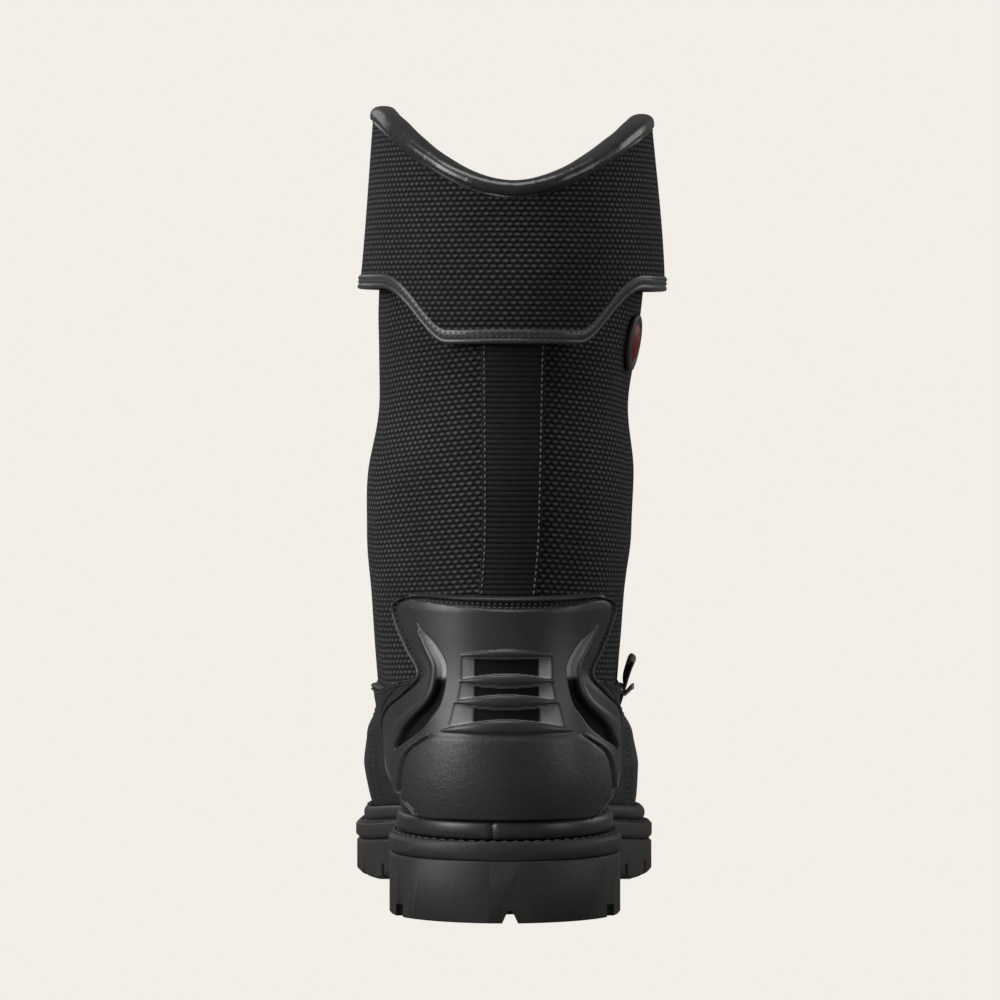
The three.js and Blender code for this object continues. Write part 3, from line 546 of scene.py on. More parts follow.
@dataclass
class Piece:
    """A finished piece: its mesh, finish, body, slot and the CAD nodes that it stands for."""

    name: str
    shell: Shell | None  # none for a copy of a CAD mesh
    finish: Finish
    slot: str
    nodes: tuple[str, ...] = ()
    body: Body = Body.BOOT
    sharp: float = 40.0
    fill: float | None = None  # how full it is, for a padded piece

    def make(self) -> None:
        """Puts the piece's own mesh into the scene and dresses it."""
        self.dress(bpy.data.objects.new(self.name, self.shell.mesh(self.name, self.sharp)))

    def dress(self, item: bpy.types.Object) -> None:
        """Links an object, gives it the finish, ties it to the boot's body if it rides on the boot
        and else bakes its placing, and hides the CAD nodes that it stands for.
        """
        bpy.context.scene.collection.objects.link(item)
        item.data.materials.clear()
        item.data.materials.append(self.finish.material())
        if self.body is Body.BOOT:
            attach(item, Body.BOOT.value)
        else:
            bend(item, self.body)
        if self.nodes:
            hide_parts(*self.nodes)
        log.info("%s: %d faces", self.name, len(item.data.polygons))


def bend(item: bpy.types.Object, flap: Body) -> None:
    """Bakes a collar piece's placing into its mesh, for a piece on a flap. Nothing ties it to the
    flap.
    """
    sign = -1 if flap is Body.MEDIAL_FLAP else 1
    middle, along = 0.003, -0.0765
    sign * 0.0300 + middle
    sign * 0.0525 + middle
    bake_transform(item)


# ------------------------------------------------------------------ shader maths
class Shade:
    """A shader value. Python's operators on it add the Math nodes that they stand for."""

    def __init__(self, board: Board, socket: bpy.types.NodeSocket) -> None:
        """Wraps a socket of a board."""
        self.board = board
        self.socket = socket

    def math(self, operation: str, *others: float | Shade) -> Shade:
        """This value and others through a Math node."""
        return self.board.node("ShaderNodeMath", dict(enumerate((self, *others))),
                               operation=operation)

    def __add__(self, other: float | Shade) -> Shade:
        """Sum."""
        return self.math("ADD", other)

    __radd__ = __add__

    def __mul__(self, other: float | Shade) -> Shade:
        """Product."""
        return self.math("MULTIPLY", other)

    __rmul__ = __mul__

    def __sub__(self, other: float | Shade) -> Shade:
        """Difference."""
        return self.math("SUBTRACT", other)

    def __rsub__(self, other: float) -> Shade:
        """Difference with this value taken away."""
        return self * -1.0 + other

    def __truediv__(self, other: float) -> Shade:
        """Quotient by a number."""
        return self * (1.0 / other)

    def __pow__(self, power: float) -> Shade:
        """Power, of a value that is never below 0."""
        return self.math("POWER", power)

    def step(self, low: float, high: float) -> Shade:
        """0 below low and 1 above high, straight between them."""
        return self.board.node("ShaderNodeMapRange", {0: self, 1: low, 2: high}, clamp=True)

    def wave(self) -> Shade:
        """A hump from 0 to 1 and back over each unit of this value."""
        return (self.math("FRACT") * math.pi).math("SINE").math("MAXIMUM", 0.0)


class Board:
    """The nodes of one material."""

    def __init__(self, name: str) -> None:
        """Starts a material with its one shader."""
        self.material = bpy.data.materials.new(name)
        self.material.use_nodes = True
        self.tree = self.material.node_tree
        self.shader = self.tree.nodes["Principled BSDF"]

    def node(self, kind: str, values: dict[int | str, object], output: int | str = 0,
             **settings: object) -> Shade:
        """Adds a node.

        Args:
            kind: The node's type.
            values: A number, colour or Shade for each input, by place or name.
            output: Which output to return.
            **settings: The node's own settings, set before its inputs.

        Returns:
            The output.
        """
        node = self.tree.nodes.new(kind)
        for key, setting in settings.items():
            setattr(node, key, setting)
        for key, value in values.items():
            if isinstance(value, Shade):
                self.tree.links.new(value.socket, node.inputs[key])
            else:
                node.inputs[key].default_value = value
        return Shade(self, node.outputs[output])

    def place(self) -> Shade:
        """Place in the object's own space, in metres."""
        return self.node("ShaderNodeTexCoord", {}, "Object")

    def layout(self) -> tuple[Shade, Shade]:
        """The piece's flat layout, across and up, in metres."""
        flat = self.node("ShaderNodeUVMap", {}, uv_map="layout")
        both = self.tree.nodes.new("ShaderNodeSeparateXYZ")
        self.tree.links.new(flat.socket, both.inputs[0])
        return Shade(self, both.outputs[0]), Shade(self, both.outputs[1])

    def mask(self, name: str) -> Shade:
        """A named value that the mesh holds."""
        return self.node("ShaderNodeAttribute", {}, "Fac", attribute_name=name)

    def noise(self, size: float, detail: float = 3.0, rough: float = 0.55) -> Shade:
        """Soft noise whose blotches are about size millimetres across."""
        values = {"Vector": self.place(), "Scale": 1.0 / (size * MM), "Detail": detail,
                  "Roughness": rough}
        return self.node("ShaderNodeTexNoise", values)

    def cells(self, size: float) -> Shade:
        """Distance inside rounded cells about size millimetres across."""
        values = {"Vector": self.place(), "Scale": 1.0 / (size * MM)}
        return self.node("ShaderNodeTexVoronoi", values, feature="F1")

    def colour(self, low: Shade | Sequence[float], high: Sequence[float], share: Shade) -> Shade:
        """A colour between two, by share."""
        values = {0: share, 6: low if isinstance(low, Shade) else (*low, 1.0), 7: (*high, 1.0)}
        return self.node("ShaderNodeMix", values, 2, data_type="RGBA")

    def bump(self, height: Shade, depth: float, under: Shade | None = None) -> Shade:
        """A bump depth millimetres high, on top of another where one is given."""
        values: dict[int | str, object] = {"Height": height, "Distance": depth * MM,
                                           "Strength": 1.0}
        if under is not None:
            values["Normal"] = under
        return self.node("ShaderNodeBump", values)

    def done(self, colour: Shade, roughness: Shade, normal: Shade, **others: object) -> None:
        """Joins the varying looks to the shader and sets the fixed ones on it."""
        looks = {"Base_Color": colour, "Roughness": roughness, "Normal": normal, **others}
        for key, value in looks.items():
            socket = self.shader.inputs[key.replace("_", " ")]
            if isinstance(value, Shade):
                self.tree.links.new(value.socket, socket)
            else:
                socket.default_value = value


# ------------------------------------------------------------------ finishes
Colour = tuple[float, float, float]


@dataclass(frozen=True)
class Finish:
    """A named finish. Its material is made once and shared."""

    name: str

    def material(self) -> bpy.types.Material:
        """The finish's material."""
        known = bpy.data.materials.get(self.name)
        if known is not None:
            return known
        board = Board(self.name)
        self.paint(board)
        return board.material

    def paint(self, board: Board) -> None:
        """Draws the finish on a board."""
        raise NotImplementedError


@dataclass(frozen=True)
class Weave(Finish):
    """Coarse basket cloth: staggered floats with a painted highlight, over a ground painted near
    black as the shade between them.
    """

    pitch: float = 2.9  # across, between floats of a row
    row: float = 2.05
    # The ground colour is painted shade between the floats, and the float colour is a painted
    # highlight on their tops.
    ground: Colour = (0.0022, 0.0022, 0.0024)
    float_yarn: Colour = (0.135, 0.135, 0.150)

    def paint(self, board: Board) -> None:
        """Every other row is shifted by half a pitch. Crossing yarns sink between the floats."""
        across, upward = board.layout()
        row = upward / (self.row * MM)
        shift = row.math("FLOOR").math("MODULO", 2.0).math("ABSOLUTE") * 0.5
        u = across / (self.pitch * MM) + shift
        yarn = u.wave() * row.wave() ** 1.1
        crossing = (u + 0.5).wave() ** 2.5 * row.wave() ** 0.5
        strands = (u * 7.0 + row * 1.5).wave()
        height = yarn + crossing * 0.3 + strands * yarn * 0.15
        highlight_patches = board.noise(30.0)
        fleck = board.noise(2.6, 2.0)
        # Painted highlight, brightest at each float's middle and varied in broad patches and
        # flecks.
        dash = u.wave() ** 2.9 * row.wave() ** 2.2
        bright = (dash + crossing * 0.05) * (highlight_patches * 0.9 + fleck * 1.5 - 0.35)
        board.done(board.colour(self.ground, self.float_yarn, bright),
                   yarn * -0.40 + 0.92,
                   board.bump(height, 0.75, board.bump(fleck, 0.12)),
                   Sheen_Weight=0.05, Sheen_Roughness=0.5, Specular_IOR_Level=0.35)


@dataclass(frozen=True)
class Webbing(Finish):
    """Ribbed webbing: cross ribs with a fine twill between the edges, and painted highlight and
    shade on the ribs.
    """

    rib: float = 2.05
    low: Colour = (0.002, 0.002, 0.0022)
    high: Colour = (0.012, 0.012, 0.0135)

    def paint(self, board: Board) -> None:
        """Ribs run across. Fine slanting yarns break each of them up."""
        across, upward = board.layout()
        rib = upward / (self.rib * MM)
        yarn = (across / (1.15 * MM) + rib * 0.5).wave()
        height = rib.wave() ** 0.7 + yarn * 0.35
        fleck = board.noise(1.3, 2.0)
        # Painted highlight and shade: lighter on the rib crests, darker in the troughs between
        # them.
        bright = rib.wave() ** 3.0 * (yarn * 0.55 + fleck * 0.5)
        board.done(board.colour(self.low, self.high, bright), fleck * 0.2 + 0.58,
                   board.bump(height, 0.34), Sheen_Weight=0.04, Sheen_Roughness=0.5,
                   Specular_IOR_Level=0.35)


@dataclass(frozen=True)
class Moulded(Finish):
    """Satin moulded rubber: pebbled, with painted shade in its recesses and painted highlights
    where the mesh says so.
    """

    low: Colour = (0.020, 0.021, 0.022)
    high: Colour = (0.060, 0.062, 0.0645)
    # Colours of the painted shade in recesses and of the painted highlight, laid on where the mesh
    # marks them.
    hollow: Colour = (0.0015, 0.0015, 0.0017)
    polished: Colour = (0.62, 0.63, 0.635)
    rough: float = 0.40
    coat: float = 0.25

    def paint(self, board: Board) -> None:
        """Mottling and fine grain everywhere, with pebbles, and with painted shade and painted
        highlights by mask.
        """
        mottle = board.noise(24.0, 4.0)
        grain = board.noise(0.55, 2.0)
        pebble = board.noise(1.5, 3.0, 0.65)
        pebbled, cavity, polish = (board.mask(name) for name in ("pebble", "cavity", "polish"))
        tone = mottle * 0.75 + grain * 0.35 + pebbled * pebble * 0.25 - 0.1
        body = board.colour(self.low, self.high, tone)
        # Painted highlight: a pale grey laid over the rubber where the mesh marks it.
        highlighted = board.colour(body, self.polished, polish * (mottle * 0.5 + 0.6))
        rough = grain * 0.16 + (self.rough - 0.08) + pebbled * 0.06 + cavity * 0.5 - polish * 0.12
        height = grain * 0.25 + pebble * pebbled * 2.6
        # Painted shade: near black where the mesh marks a recess. The same mask also roughens it
        # there and takes its coat away.
        board.done(board.colour(highlighted, self.hollow, cavity), rough, board.bump(height, 0.09),
                   Coat_Weight=(1.0 - cavity) * self.coat, Coat_Roughness=0.3)


@dataclass(frozen=True)
class Hide(Finish):
    """Grained leather: small rounded cells, soft creases and a faint bloom."""

    low: Colour = (0.016, 0.0165, 0.0190)
    high: Colour = (0.044, 0.0455, 0.052)
    grain: float = 1.0
    rough: float = 0.44
    coat: float = 0.1

    def paint(self, board: Board) -> None:
        """Cells give the grain, stretched noise the creases, and wide noise the bloom."""
        cells = board.cells(self.grain)
        crease = board.noise(7.0, 5.0, 0.6)
        bloom = board.noise(40.0, 3.0)
        height = (1.0 - cells) * 0.6 + crease * 1.4
        tone = bloom * 0.8 + cells * 0.25 - 0.1
        board.done(board.colour(self.low, self.high, tone), crease * 0.22 + (self.rough - 0.1),
                   board.bump(height, 0.11), Coat_Weight=self.coat, Coat_Roughness=0.35)


@dataclass(frozen=True)
class SoleRubber(Finish):
    """Dull carbon rubber with mould streaks and a little dust."""

    low: Colour = (0.022, 0.022, 0.0215)
    high: Colour = (0.068, 0.067, 0.064)

    def paint(self, board: Board) -> None:
        """Wide streaks tint it, fine noise roughens it."""
        streak = board.noise(45.0, 5.0, 0.6)
        dust = board.noise(5.0, 4.0, 0.7)
        grain = board.noise(0.5, 2.0)
        tone = streak * 0.6 + dust.step(0.5, 0.85) * 0.25 + grain * 0.2 - 0.05
        board.done(board.colour(self.low, self.high, tone), grain * 0.15 + dust * 0.1 + 0.44,
                   board.bump(grain * 0.4 + dust, 0.12), Coat_Weight=0.05, Coat_Roughness=0.4)


@dataclass(frozen=True)
class Rolled(Finish):
    """Polished leather rolled over an edge, with short creases across it."""

    low: Colour = (0.010, 0.0102, 0.011)
    high: Colour = (0.048, 0.049, 0.053)
    rough: float = 0.26

    def paint(self, board: Board) -> None:
        """The layout's first number runs along the roll, so creases follow it."""
        along, around = board.layout()
        crease = (along / (9.0 * MM) + board.noise(14.0) * 3.0).wave() ** 6.0
        scuff = board.noise(6.0, 5.0, 0.65)
        grain = board.cells(0.8)
        # Painted highlight and shade: the colour is lightest half way round the section, which is
        # the top of the rolled binding, and darker towards its foot.
        edge = (around / (30.0 * MM)).wave()
        board.done(board.colour(self.low, self.high, scuff * 0.7 + edge * 0.2),
                   scuff * 0.25 + (self.rough - 0.1),
                   board.bump(crease * 0.6 + grain * 0.15 + scuff * 0.5, 0.16),
                   Coat_Weight=0.55, Coat_Roughness=0.2)


@dataclass(frozen=True)
class Quilted(Finish):
    """Soft lining cloth sewn in diamonds, with a brushed face."""

    diamond: float = 24.0
    low: Colour = (0.018, 0.018, 0.019)
    high: Colour = (0.070, 0.070, 0.074)

    def paint(self, board: Board) -> None:
        """Two slanting rows of humps meet along the quilting lines."""
        across, upward = board.layout()
        scale = self.diamond * MM
        a = (across / scale + upward / scale).wave() ** 0.4
        b = (across / scale - upward / scale + 40.0).wave() ** 0.4
        nap = board.noise(0.9, 3.0)
        knit = (across / (1.4 * MM)).wave() * (upward / (1.4 * MM)).wave()
        # Painted highlight and shade: lighter on the quilted humps and knit loops, darker along the
        # sewn quilting lines and between the loops.
        board.done(board.colour(self.low, self.high, a * b * 0.4 + nap * 0.35 + knit * 0.2),
                   nap * 0.1 + 0.85,
                   board.bump(knit * 0.3 + nap * 0.3, 0.25, board.bump(a * b, 1.6)),
                   Sheen_Weight=0.3, Sheen_Roughness=0.6)


@dataclass(frozen=True)
class Thread(Finish):
    """Twisted sewing thread."""

    low: Colour = (0.02, 0.02, 0.021)
    high: Colour = (0.12, 0.12, 0.125)

    def paint(self, board: Board) -> None:
        """Slanting stripes on the layout are the twist."""
        along, around = board.layout()
        twist = (along / (0.55 * MM) + around / (0.8 * MM)).wave()
        fuzz = board.noise(0.4, 2.0)
        # Painted highlight and shade: lighter on the twist's ridges, darker between them.
        board.done(board.colour(self.low, self.high, twist * 0.6 + fuzz * 0.35), fuzz * 0.2 + 0.5,
                   board.bump(twist, 0.08), Sheen_Weight=0.1)


@dataclass(frozen=True)
class Grain(Finish):
    """A plain stuff with a grain, for the parts inside and the small ones."""

    low: Colour = (0.2, 0.2, 0.2)
    high: Colour = (0.4, 0.4, 0.4)
    size: float = 2.0
    rough: float = 0.6
    depth: float = 0.1
    metal: float = 0.0

    def paint(self, board: Board) -> None:
        """Two sizes of noise tint and roughen it."""
        wide = board.noise(self.size * 6.0, 4.0)
        fine = board.noise(self.size, 4.0, 0.65)
        speck = board.cells(self.size * 1.4)
        board.done(board.colour(self.low, self.high, wide * 0.5 + fine * 0.6 - speck * 0.15),
                   fine * 0.2 + (self.rough - 0.1), board.bump(fine + speck * 0.4, self.depth),
                   Metallic=self.metal)


SHAFT_CLOTH = Weave("shaft cloth", pitch=3.5)
COLLAR_CLOTH = Weave("collar cloth", float_yarn=(0.108, 0.108, 0.126))
STRAP_WEB = Webbing("strap webbing")
COUNTER_RUBBER = Moulded("counter rubber")
WELT_RUBBER = Moulded("welt rubber", rough=0.36, coat=0.15)
FOOT_HIDE = Hide("foot leather")
GUARD_HIDE = Hide("guard leather", grain=1.3)
ROLL_HIDE = Rolled("rolled binding")
HEM_HIDE = Rolled("hem tape", low=(0.030, 0.031, 0.034), high=(0.085, 0.087, 0.094), rough=0.42)
SOLE = SoleRubber("sole rubber")
LINING_CLOTH = Quilted("quilted lining")
DARK_THREAD = Thread("dark thread")
GREY_THREAD = Thread("grey thread", low=(0.03, 0.03, 0.031), high=(0.17, 0.17, 0.175))
PALE_THREAD = Thread("pale thread", low=(0.05, 0.05, 0.052), high=(0.26, 0.26, 0.27))
FOOTBED_FOAM = Grain("footbed foam", (0.035, 0.035, 0.037), (0.075, 0.075, 0.08), 1.2, 0.9, 0.2)
BADGE_RIM = Grain("badge rim", (0.045, 0.045, 0.045), (0.085, 0.085, 0.084), 0.9, 0.45, 0.05)
BADGE_RED = Grain("badge red", (0.16, 0.018, 0.015), (0.36, 0.055, 0.045), 2.6, 0.42, 0.12)
TAG_CLOTH = Grain("tag cloth", (0.010, 0.010, 0.010), (0.030, 0.028, 0.026), 0.7, 0.75, 0.12)
TAG_GOLD = Grain("tag gold edge", (0.12, 0.09, 0.025), (0.30, 0.23, 0.075), 0.8, 0.5, 0.08)
TAG_WHITE = Grain("tag white end", (0.55, 0.55, 0.53), (0.75, 0.75, 0.73), 0.9, 0.7, 0.08)
INSIDE = {
    "steel": Grain("bare steel", (0.42, 0.43, 0.44), (0.62, 0.63, 0.64), 3.0, 0.32, 0.03, 1.0),
    "cork": Grain("pressed cork", (0.20, 0.11, 0.05), (0.42, 0.27, 0.14), 2.4, 0.85, 0.3),
    "board": Grain("fibre board", (0.16, 0.14, 0.11), (0.30, 0.27, 0.22), 1.6, 0.85, 0.1),
    "foam": Grain("grey foam", (0.12, 0.11, 0.10), (0.22, 0.21, 0.19), 1.0, 0.95, 0.25),
}


# ------------------------------------------------------------------ shells over the form
@dataclass
class Panel:
    """A patch of the upper between two depths, with rounded edges.

    low and high give its edge heights for each share across, and start and end its edge angles for
    each height. rise is added to its outer depth.
    """

    start: Line
    end: Line
    low: Line
    high: Line
    inner: Field | float
    outer: Field | float
    spans: tuple[int, int] = (60, 60)  # across and up
    size: tuple[float, float] = (100.0, 100.0)  # rough size in millimetres, across and up
    edge: float = 1.6  # radius of its rounded edges
    focus: tuple[tuple[float, ...], tuple[float, ...]] = ((0.0, 1.0), (0.0, 1.0))  # row shares
    relief: Callable[[PanelGrid], Array] | None = None
    LIP = 0.12  # thickness left at the very edge

    def grid(self) -> PanelGrid:
        """Angles, heights and edge distances over the patch.

        The height runs straight from the low edge to the high one at each share across, and the
        angle straight from the start to the end at each height.
        """
        u = crowded(self.spans[0], self.size[0], self.edge)[None, :]
        v = np.interp(crowded(self.spans[1], self.size[1], self.edge), *self.focus)[:, None]
        h = mix(self.low(u), self.high(u), v)
        angle = mix(self.start(h), self.end(h), u)
        base = FORM.skin(angle, h, 1.0)
        across, upward = run_length(base, 1), run_length(base, 0)
        return PanelGrid(angle, h, across, upward, np.minimum(across, across[:, -1:] - across),
                         np.minimum(upward, upward[-1:] - upward), base)

    def shell(self, masks: Callable[[PanelGrid], dict[str, Array]] | None = None) -> Shell:
        """The patch as a closed shell whose outer side rolls down to the inner one at its edges."""
        g = self.grid()
        inner = self.inner(g.angle, g.h) if callable(self.inner) else self.inner
        outer = self.outer(g.angle, g.h) if callable(self.outer) else self.outer
        roll = rolled(np.minimum(g.to_side, g.to_end), self.edge)
        extra = self.relief(g) if self.relief else 0.0
        depth = inner + self.LIP + (outer - inner - self.LIP) * roll + extra * roll
        layout = np.stack([g.across - 0.5 * g.across[:, -1:], g.upward], -1) * MM
        return Shell.between(FORM.skin(g.angle, g.h, depth),
                             FORM.skin(g.angle, g.h, inner + 0 * g.h), layout=layout,
                             masks=masks(g) if masks else None)


@dataclass
class PanelGrid:
    """What a panel knows at each of its points."""

    angle: Array
    h: Array
    across: Array  # distance from its starting side
    upward: Array  # distance from its lower edge
    to_side: Array  # distance to the nearer side edge
    to_end: Array  # distance to the nearer of its low and high edges
    points: Array

    @property
    def rise(self) -> Array:
        """Height above the heel seat."""
        return self.h - SEAT_HEIGHT

    @property
    def off_seam(self) -> Array:
        """Distance to the side of the back seam, positive on the lateral side."""
        return self.points[..., 0] - FORM.seam_at(self.h)


def held(value: float) -> Line:
    """A function that gives the same value everywhere."""
    return lambda x: value + 0 * x


RING_EDGE = 1.2  # radius of a ring's rounded edges
RING_LIP = 0.1  # thickness left at its very edge
RING_LENGTH = 200.0  # rough height of a ring
LAYOUT_FOOT = 60.0  # height at which a ring's layout starts
ARCH_REACH = 75.0  # how far round the boot the rows fall


def ring(low: Line, high: Line, inner: Field, outer: Field, cols: int, rows: int,
         arch: float = 0.0) -> Shell:
    """Closed layer all round the boot, from one height to another.

    Args:
        low: Height of its lower edge at each angle.
        high: Height of its upper edge at each angle.
        inner: Depth of its inner face at an angle and a height.
        outer: Depth of its outer face.
        cols: Points round the boot.
        rows: Spans up it, besides the extra ones at its edges.
        arch: How steeply the layout's rows fall away from the back seam.

    Returns:
        The layer, laid out flat from the back seam.
    """
    turn = np.linspace(-math.pi, math.pi, cols + 1)
    v = crowded(rows, RING_LENGTH, RING_EDGE)[:, None]
    angle = np.broadcast_to(turn[None, :], (len(v), cols + 1))
    h = mix(low(angle), high(angle), v)
    base = FORM.skin(angle, h, 0.0)
    across, upward = run_length(base, 1), run_length(base, 0)
    across = across - across[:, cols // 2:cols // 2 + 1]
    level = h - LAYOUT_FOOT + arch * np.minimum(np.abs(across), ARCH_REACH)
    roll = rolled(np.minimum(upward, upward[-1:] - upward), RING_EDGE)
    low_face, high_face = inner(angle, h), outer(angle, h)
    depth = low_face + RING_LIP + (high_face - low_face - RING_LIP) * roll
    return Shell.between(FORM.skin(angle, h, depth)[:, :-1], FORM.skin(angle, h, low_face)[:, :-1],
                         wrap=True, layout=np.stack([across, level], -1) * MM)


@dataclass
class Stitching:
    """A row of sewn stitches: each a small capsule that dips at both ends."""

    length: float = 2.0
    pitch: float = 2.9
    radius: float = 0.36
    sunk: float = 0.05
    # where each ring lies, from -1 to 1 along the stitch, and its share of the radius
    RINGS = ((-1.0, 0.35), (-0.72, 0.85), (0.0, 1.0), (0.72, 0.85), (1.0, 0.35))
    SIDES = 6

    def shell(self, path: Array, normal: Array) -> Shell:
        """Stitches along a path.

        Stitch middles lie a pitch apart. Each stitch is five hexagons along the path, low at its
        ends and highest in its middle.

        Args:
            path: Points that the row follows, on the sewn surface.
            normal: Outward direction at each.

        Returns:
            All the stitches as one mesh.
        """
        walked = run_length(path[:, None], 0)[:, 0]
        count = max(int((walked[-1] - self.length) / self.pitch), 1)
        middles = (np.arange(count) + 0.5) * self.pitch
        along = np.array([ring_at for ring_at, _ in self.RINGS]) * self.length / 2
        places = middles[:, None] + along[None, :]

        def pick(values: Array, at: Array) -> Array:
            """Values along the path, at distances walked."""
            return np.stack([np.interp(at, walked, values[:, k]) for k in range(3)], -1)

        centre, up_way = pick(path, places), unit(pick(normal, places))
        ahead = unit(pick(path, places + 0.4) - pick(path, places - 0.4))
        side = unit(np.cross(up_way, ahead))
        radius = self.radius * np.array([size for _, size in self.RINGS])
        arch = self.radius * (1 - np.abs(along / (self.length / 2)) ** 2) - self.sunk
        centre = centre + up_way * arch[None, :, None]
        turn = np.arange(self.SIDES) * TURN / self.SIDES
        wide = (radius[:, None] * np.cos(turn))[None, :, :, None]
        tall = (0.8 * radius[:, None] * np.sin(turn))[None, :, :, None]
        points = centre[:, :, None] + side[:, :, None] * wide + up_way[:, :, None] * tall
        quads, _ = Shell.quads(len(self.RINGS), self.SIDES, True)
        size = len(self.RINGS) * self.SIDES
        shift = size * np.arange(count)[:, None, None]
        walls = (quads[None] + shift).reshape(-1, 4)
        first = np.arange(self.SIDES)
        caps = np.stack([first[::-1], first + size - self.SIDES])
        ends = (caps[None] + shift).reshape(-1, self.SIDES)
        flat = np.stack([np.broadcast_to(places[:, :, None], points.shape[:3]),
                         np.broadcast_to(turn * self.radius, points.shape[:3])], -1) * MM
        flat = flat.reshape(-1, 2)
        layout = np.concatenate([flat[walls].reshape(-1, 2), flat[ends].reshape(-1, 2)])
        return Shell(points.reshape(-1, 3), [*walls.tolist(), *ends.tolist()], layout)


def sewn_row(angle: Array, h: Array, depth: float | Array) -> tuple[Array, Array]:
    """The path of a row of stitches over the form, and its outward directions."""
    return FORM.skin(angle, h, depth), FORM.normal(angle, h)


def sewn(name: str, rows: Sequence[tuple[Array, Array]], slot: str, thread: Thread = DARK_THREAD,
         stitch: Stitching = Stitching(), body: Body = Body.BOOT) -> Piece:
    """Rows of stitches as one piece.

    Args:
        name: The piece's name.
        rows: A path and its normals for each row.
        slot: The material slot of what is sewn.
        thread: The thread.
        stitch: The stitch.
        body: The body that the rows ride on.

    Returns:
        The piece.
    """
    shells = [stitch.shell(path, normal) for path, normal in rows]
    whole = shells[0]
    for shell in shells[1:]:
        whole = whole.joined(shell)
    return Piece(name, whole, thread, slot, body=body)


# ------------------------------------------------------------------ shaft and collar
@dataclass
class Shaft:
    """The woven shaft, its lining, the back strap and the shin parts."""

    cloth_low: float = 79.8
    strap_half: tuple[float, float] = (11.1, 12.6)  # at its foot and at its top
    strap_span: tuple[float, float] = (117.8, 242.0)
    strap_stitch_inset: float = 1.5
    strap_face: float = GAP + 1.5
    guard_half_angle: float = 0.82
    guard_span: tuple[float, float] = (132.8, 242.0)
    first_channel: float = 18.0
    channel_pitch: float = 17.5

    def build(self) -> None:
        """Builds and dresses every part."""
        self.cloth().make()
        self.lining().make()
        strap = self.strap()
        Piece("strap_back", strap.shell(), STRAP_WEB, "webbing", ("back_strap",)).make()
        self.strap_stitches().make()
        for piece in self.shin_guard():
            piece.make()

    def cloth(self) -> Piece:
        """The woven tube, which wanders a little in depth as cloth does."""
        def outer(angle: Array, h: Array) -> Array:
            """Soft waves in the cloth, a fifth of a millimetre deep, and none at its edges."""
            calm = ease(h, self.cloth_low, self.cloth_low + 20) * (1 - ease(h, 225, 245))
            return 0.22 * calm * np.sin(0.16 * h + 2 * np.sin(3 * angle)) * np.sin(5 * angle)

        shell = ring(held(self.cloth_low), top_edge, lambda a, h: -CLOTH + 0 * h, outer, 168, 110,
                     arch=0.09)
        return Piece("shaft_cloth", shell, SHAFT_CLOTH, "woven_cloth",
                     ("shaft_medial", "shaft_lateral"))

    def lining(self) -> Piece:
        """The quilted bootie inside, from the insole to the top edge."""
        depth = -CLOTH - GAP
        shell = ring(held(up(2.0)), top_edge, lambda a, h: depth - LINING + 0 * h,
                     lambda a, h: depth + 0 * h, 120, 90)
        return Piece("lining_quilted", shell, LINING_CLOTH, "lining_cloth", ("lining_bootie",),
                     fill=0.7)

    def _strap_half(self, h: Array) -> Array:
        """Half width of the strap at each height."""
        low, high = self.strap_span
        return mix(*self.strap_half, np.clip((h - low) / (high - low), 0, 1))

    def strap(self) -> Panel:
        """The webbing strap up the back, a little wider at its top."""
        low, high = self.strap_span
        return Panel(lambda h: -FORM.angle_at_x(h, self._strap_half(h)),
                     lambda h: FORM.angle_at_x(h, self._strap_half(h)),
                     held(low), held(high), GAP - 0.2, self.strap_face, (22, 90), (24.0, 124.0),
                     0.8)

    def strap_stitches(self) -> Piece:
        """A row of stitches down each edge of the strap."""
        h = np.linspace(self.strap_span[0], self.strap_span[1] - 2, 200)
        rows = []
        for sign in (-1, 1):
            angle = sign * FORM.angle_at_x(h, self._strap_half(h) - self.strap_stitch_inset)
            rows.append(sewn_row(angle, h, self.strap_face))
        return sewn("strap_stitches", rows, "webbing", PALE_THREAD,
                    Stitching(1.6, 2.55, 0.34, 0.05))

    def shin_guard(self) -> list[Piece]:
        """The padded leather guard down the front, with sewn channels, and its stitches."""
        low, high = self.guard_span
        channels = [low + self.first_channel + self.channel_pitch * i for i in range(5)]

        def relief(g: PanelGrid) -> Array:
            """Soft rolls between channels, flat in a border that is sewn down."""
            border = ease(np.minimum(g.to_side, g.to_end), 7, 13)
            sunk = sum(hump(g.h, c, 3.2) for c in channels)
            return border * (1.5 - 1.5 * np.clip(sunk, 0, 1))

        half = self.guard_half_angle
        panel = Panel(held(math.pi - half), held(math.pi + half), held(low), held(high), GAP - 0.1,
                      GAP + LEATHER, (70, 100), (86.0, 109.0), 1.4, relief=relief)
        guard = Piece("shin_guard_padded", panel.shell(), GUARD_HIDE, "smooth_leather",
                      ("shin_guard",), fill=0.6)
        count, start, end = 80, math.pi - half + 0.06, math.pi + half - 0.06
        turn = np.concatenate([np.full(count, start), np.linspace(start, end, count),
                               np.full(count, end)])
        side = np.linspace(low + 4, high - 4, count)
        level = np.concatenate([side, np.full(count, high - 4.0),
                                np.linspace(high - 4, low + 4, count)])
        rows = [sewn_row(turn, level, GAP + LEATHER)]
        return [guard, sewn("shin_guard_stitches", rows, "smooth_leather")]


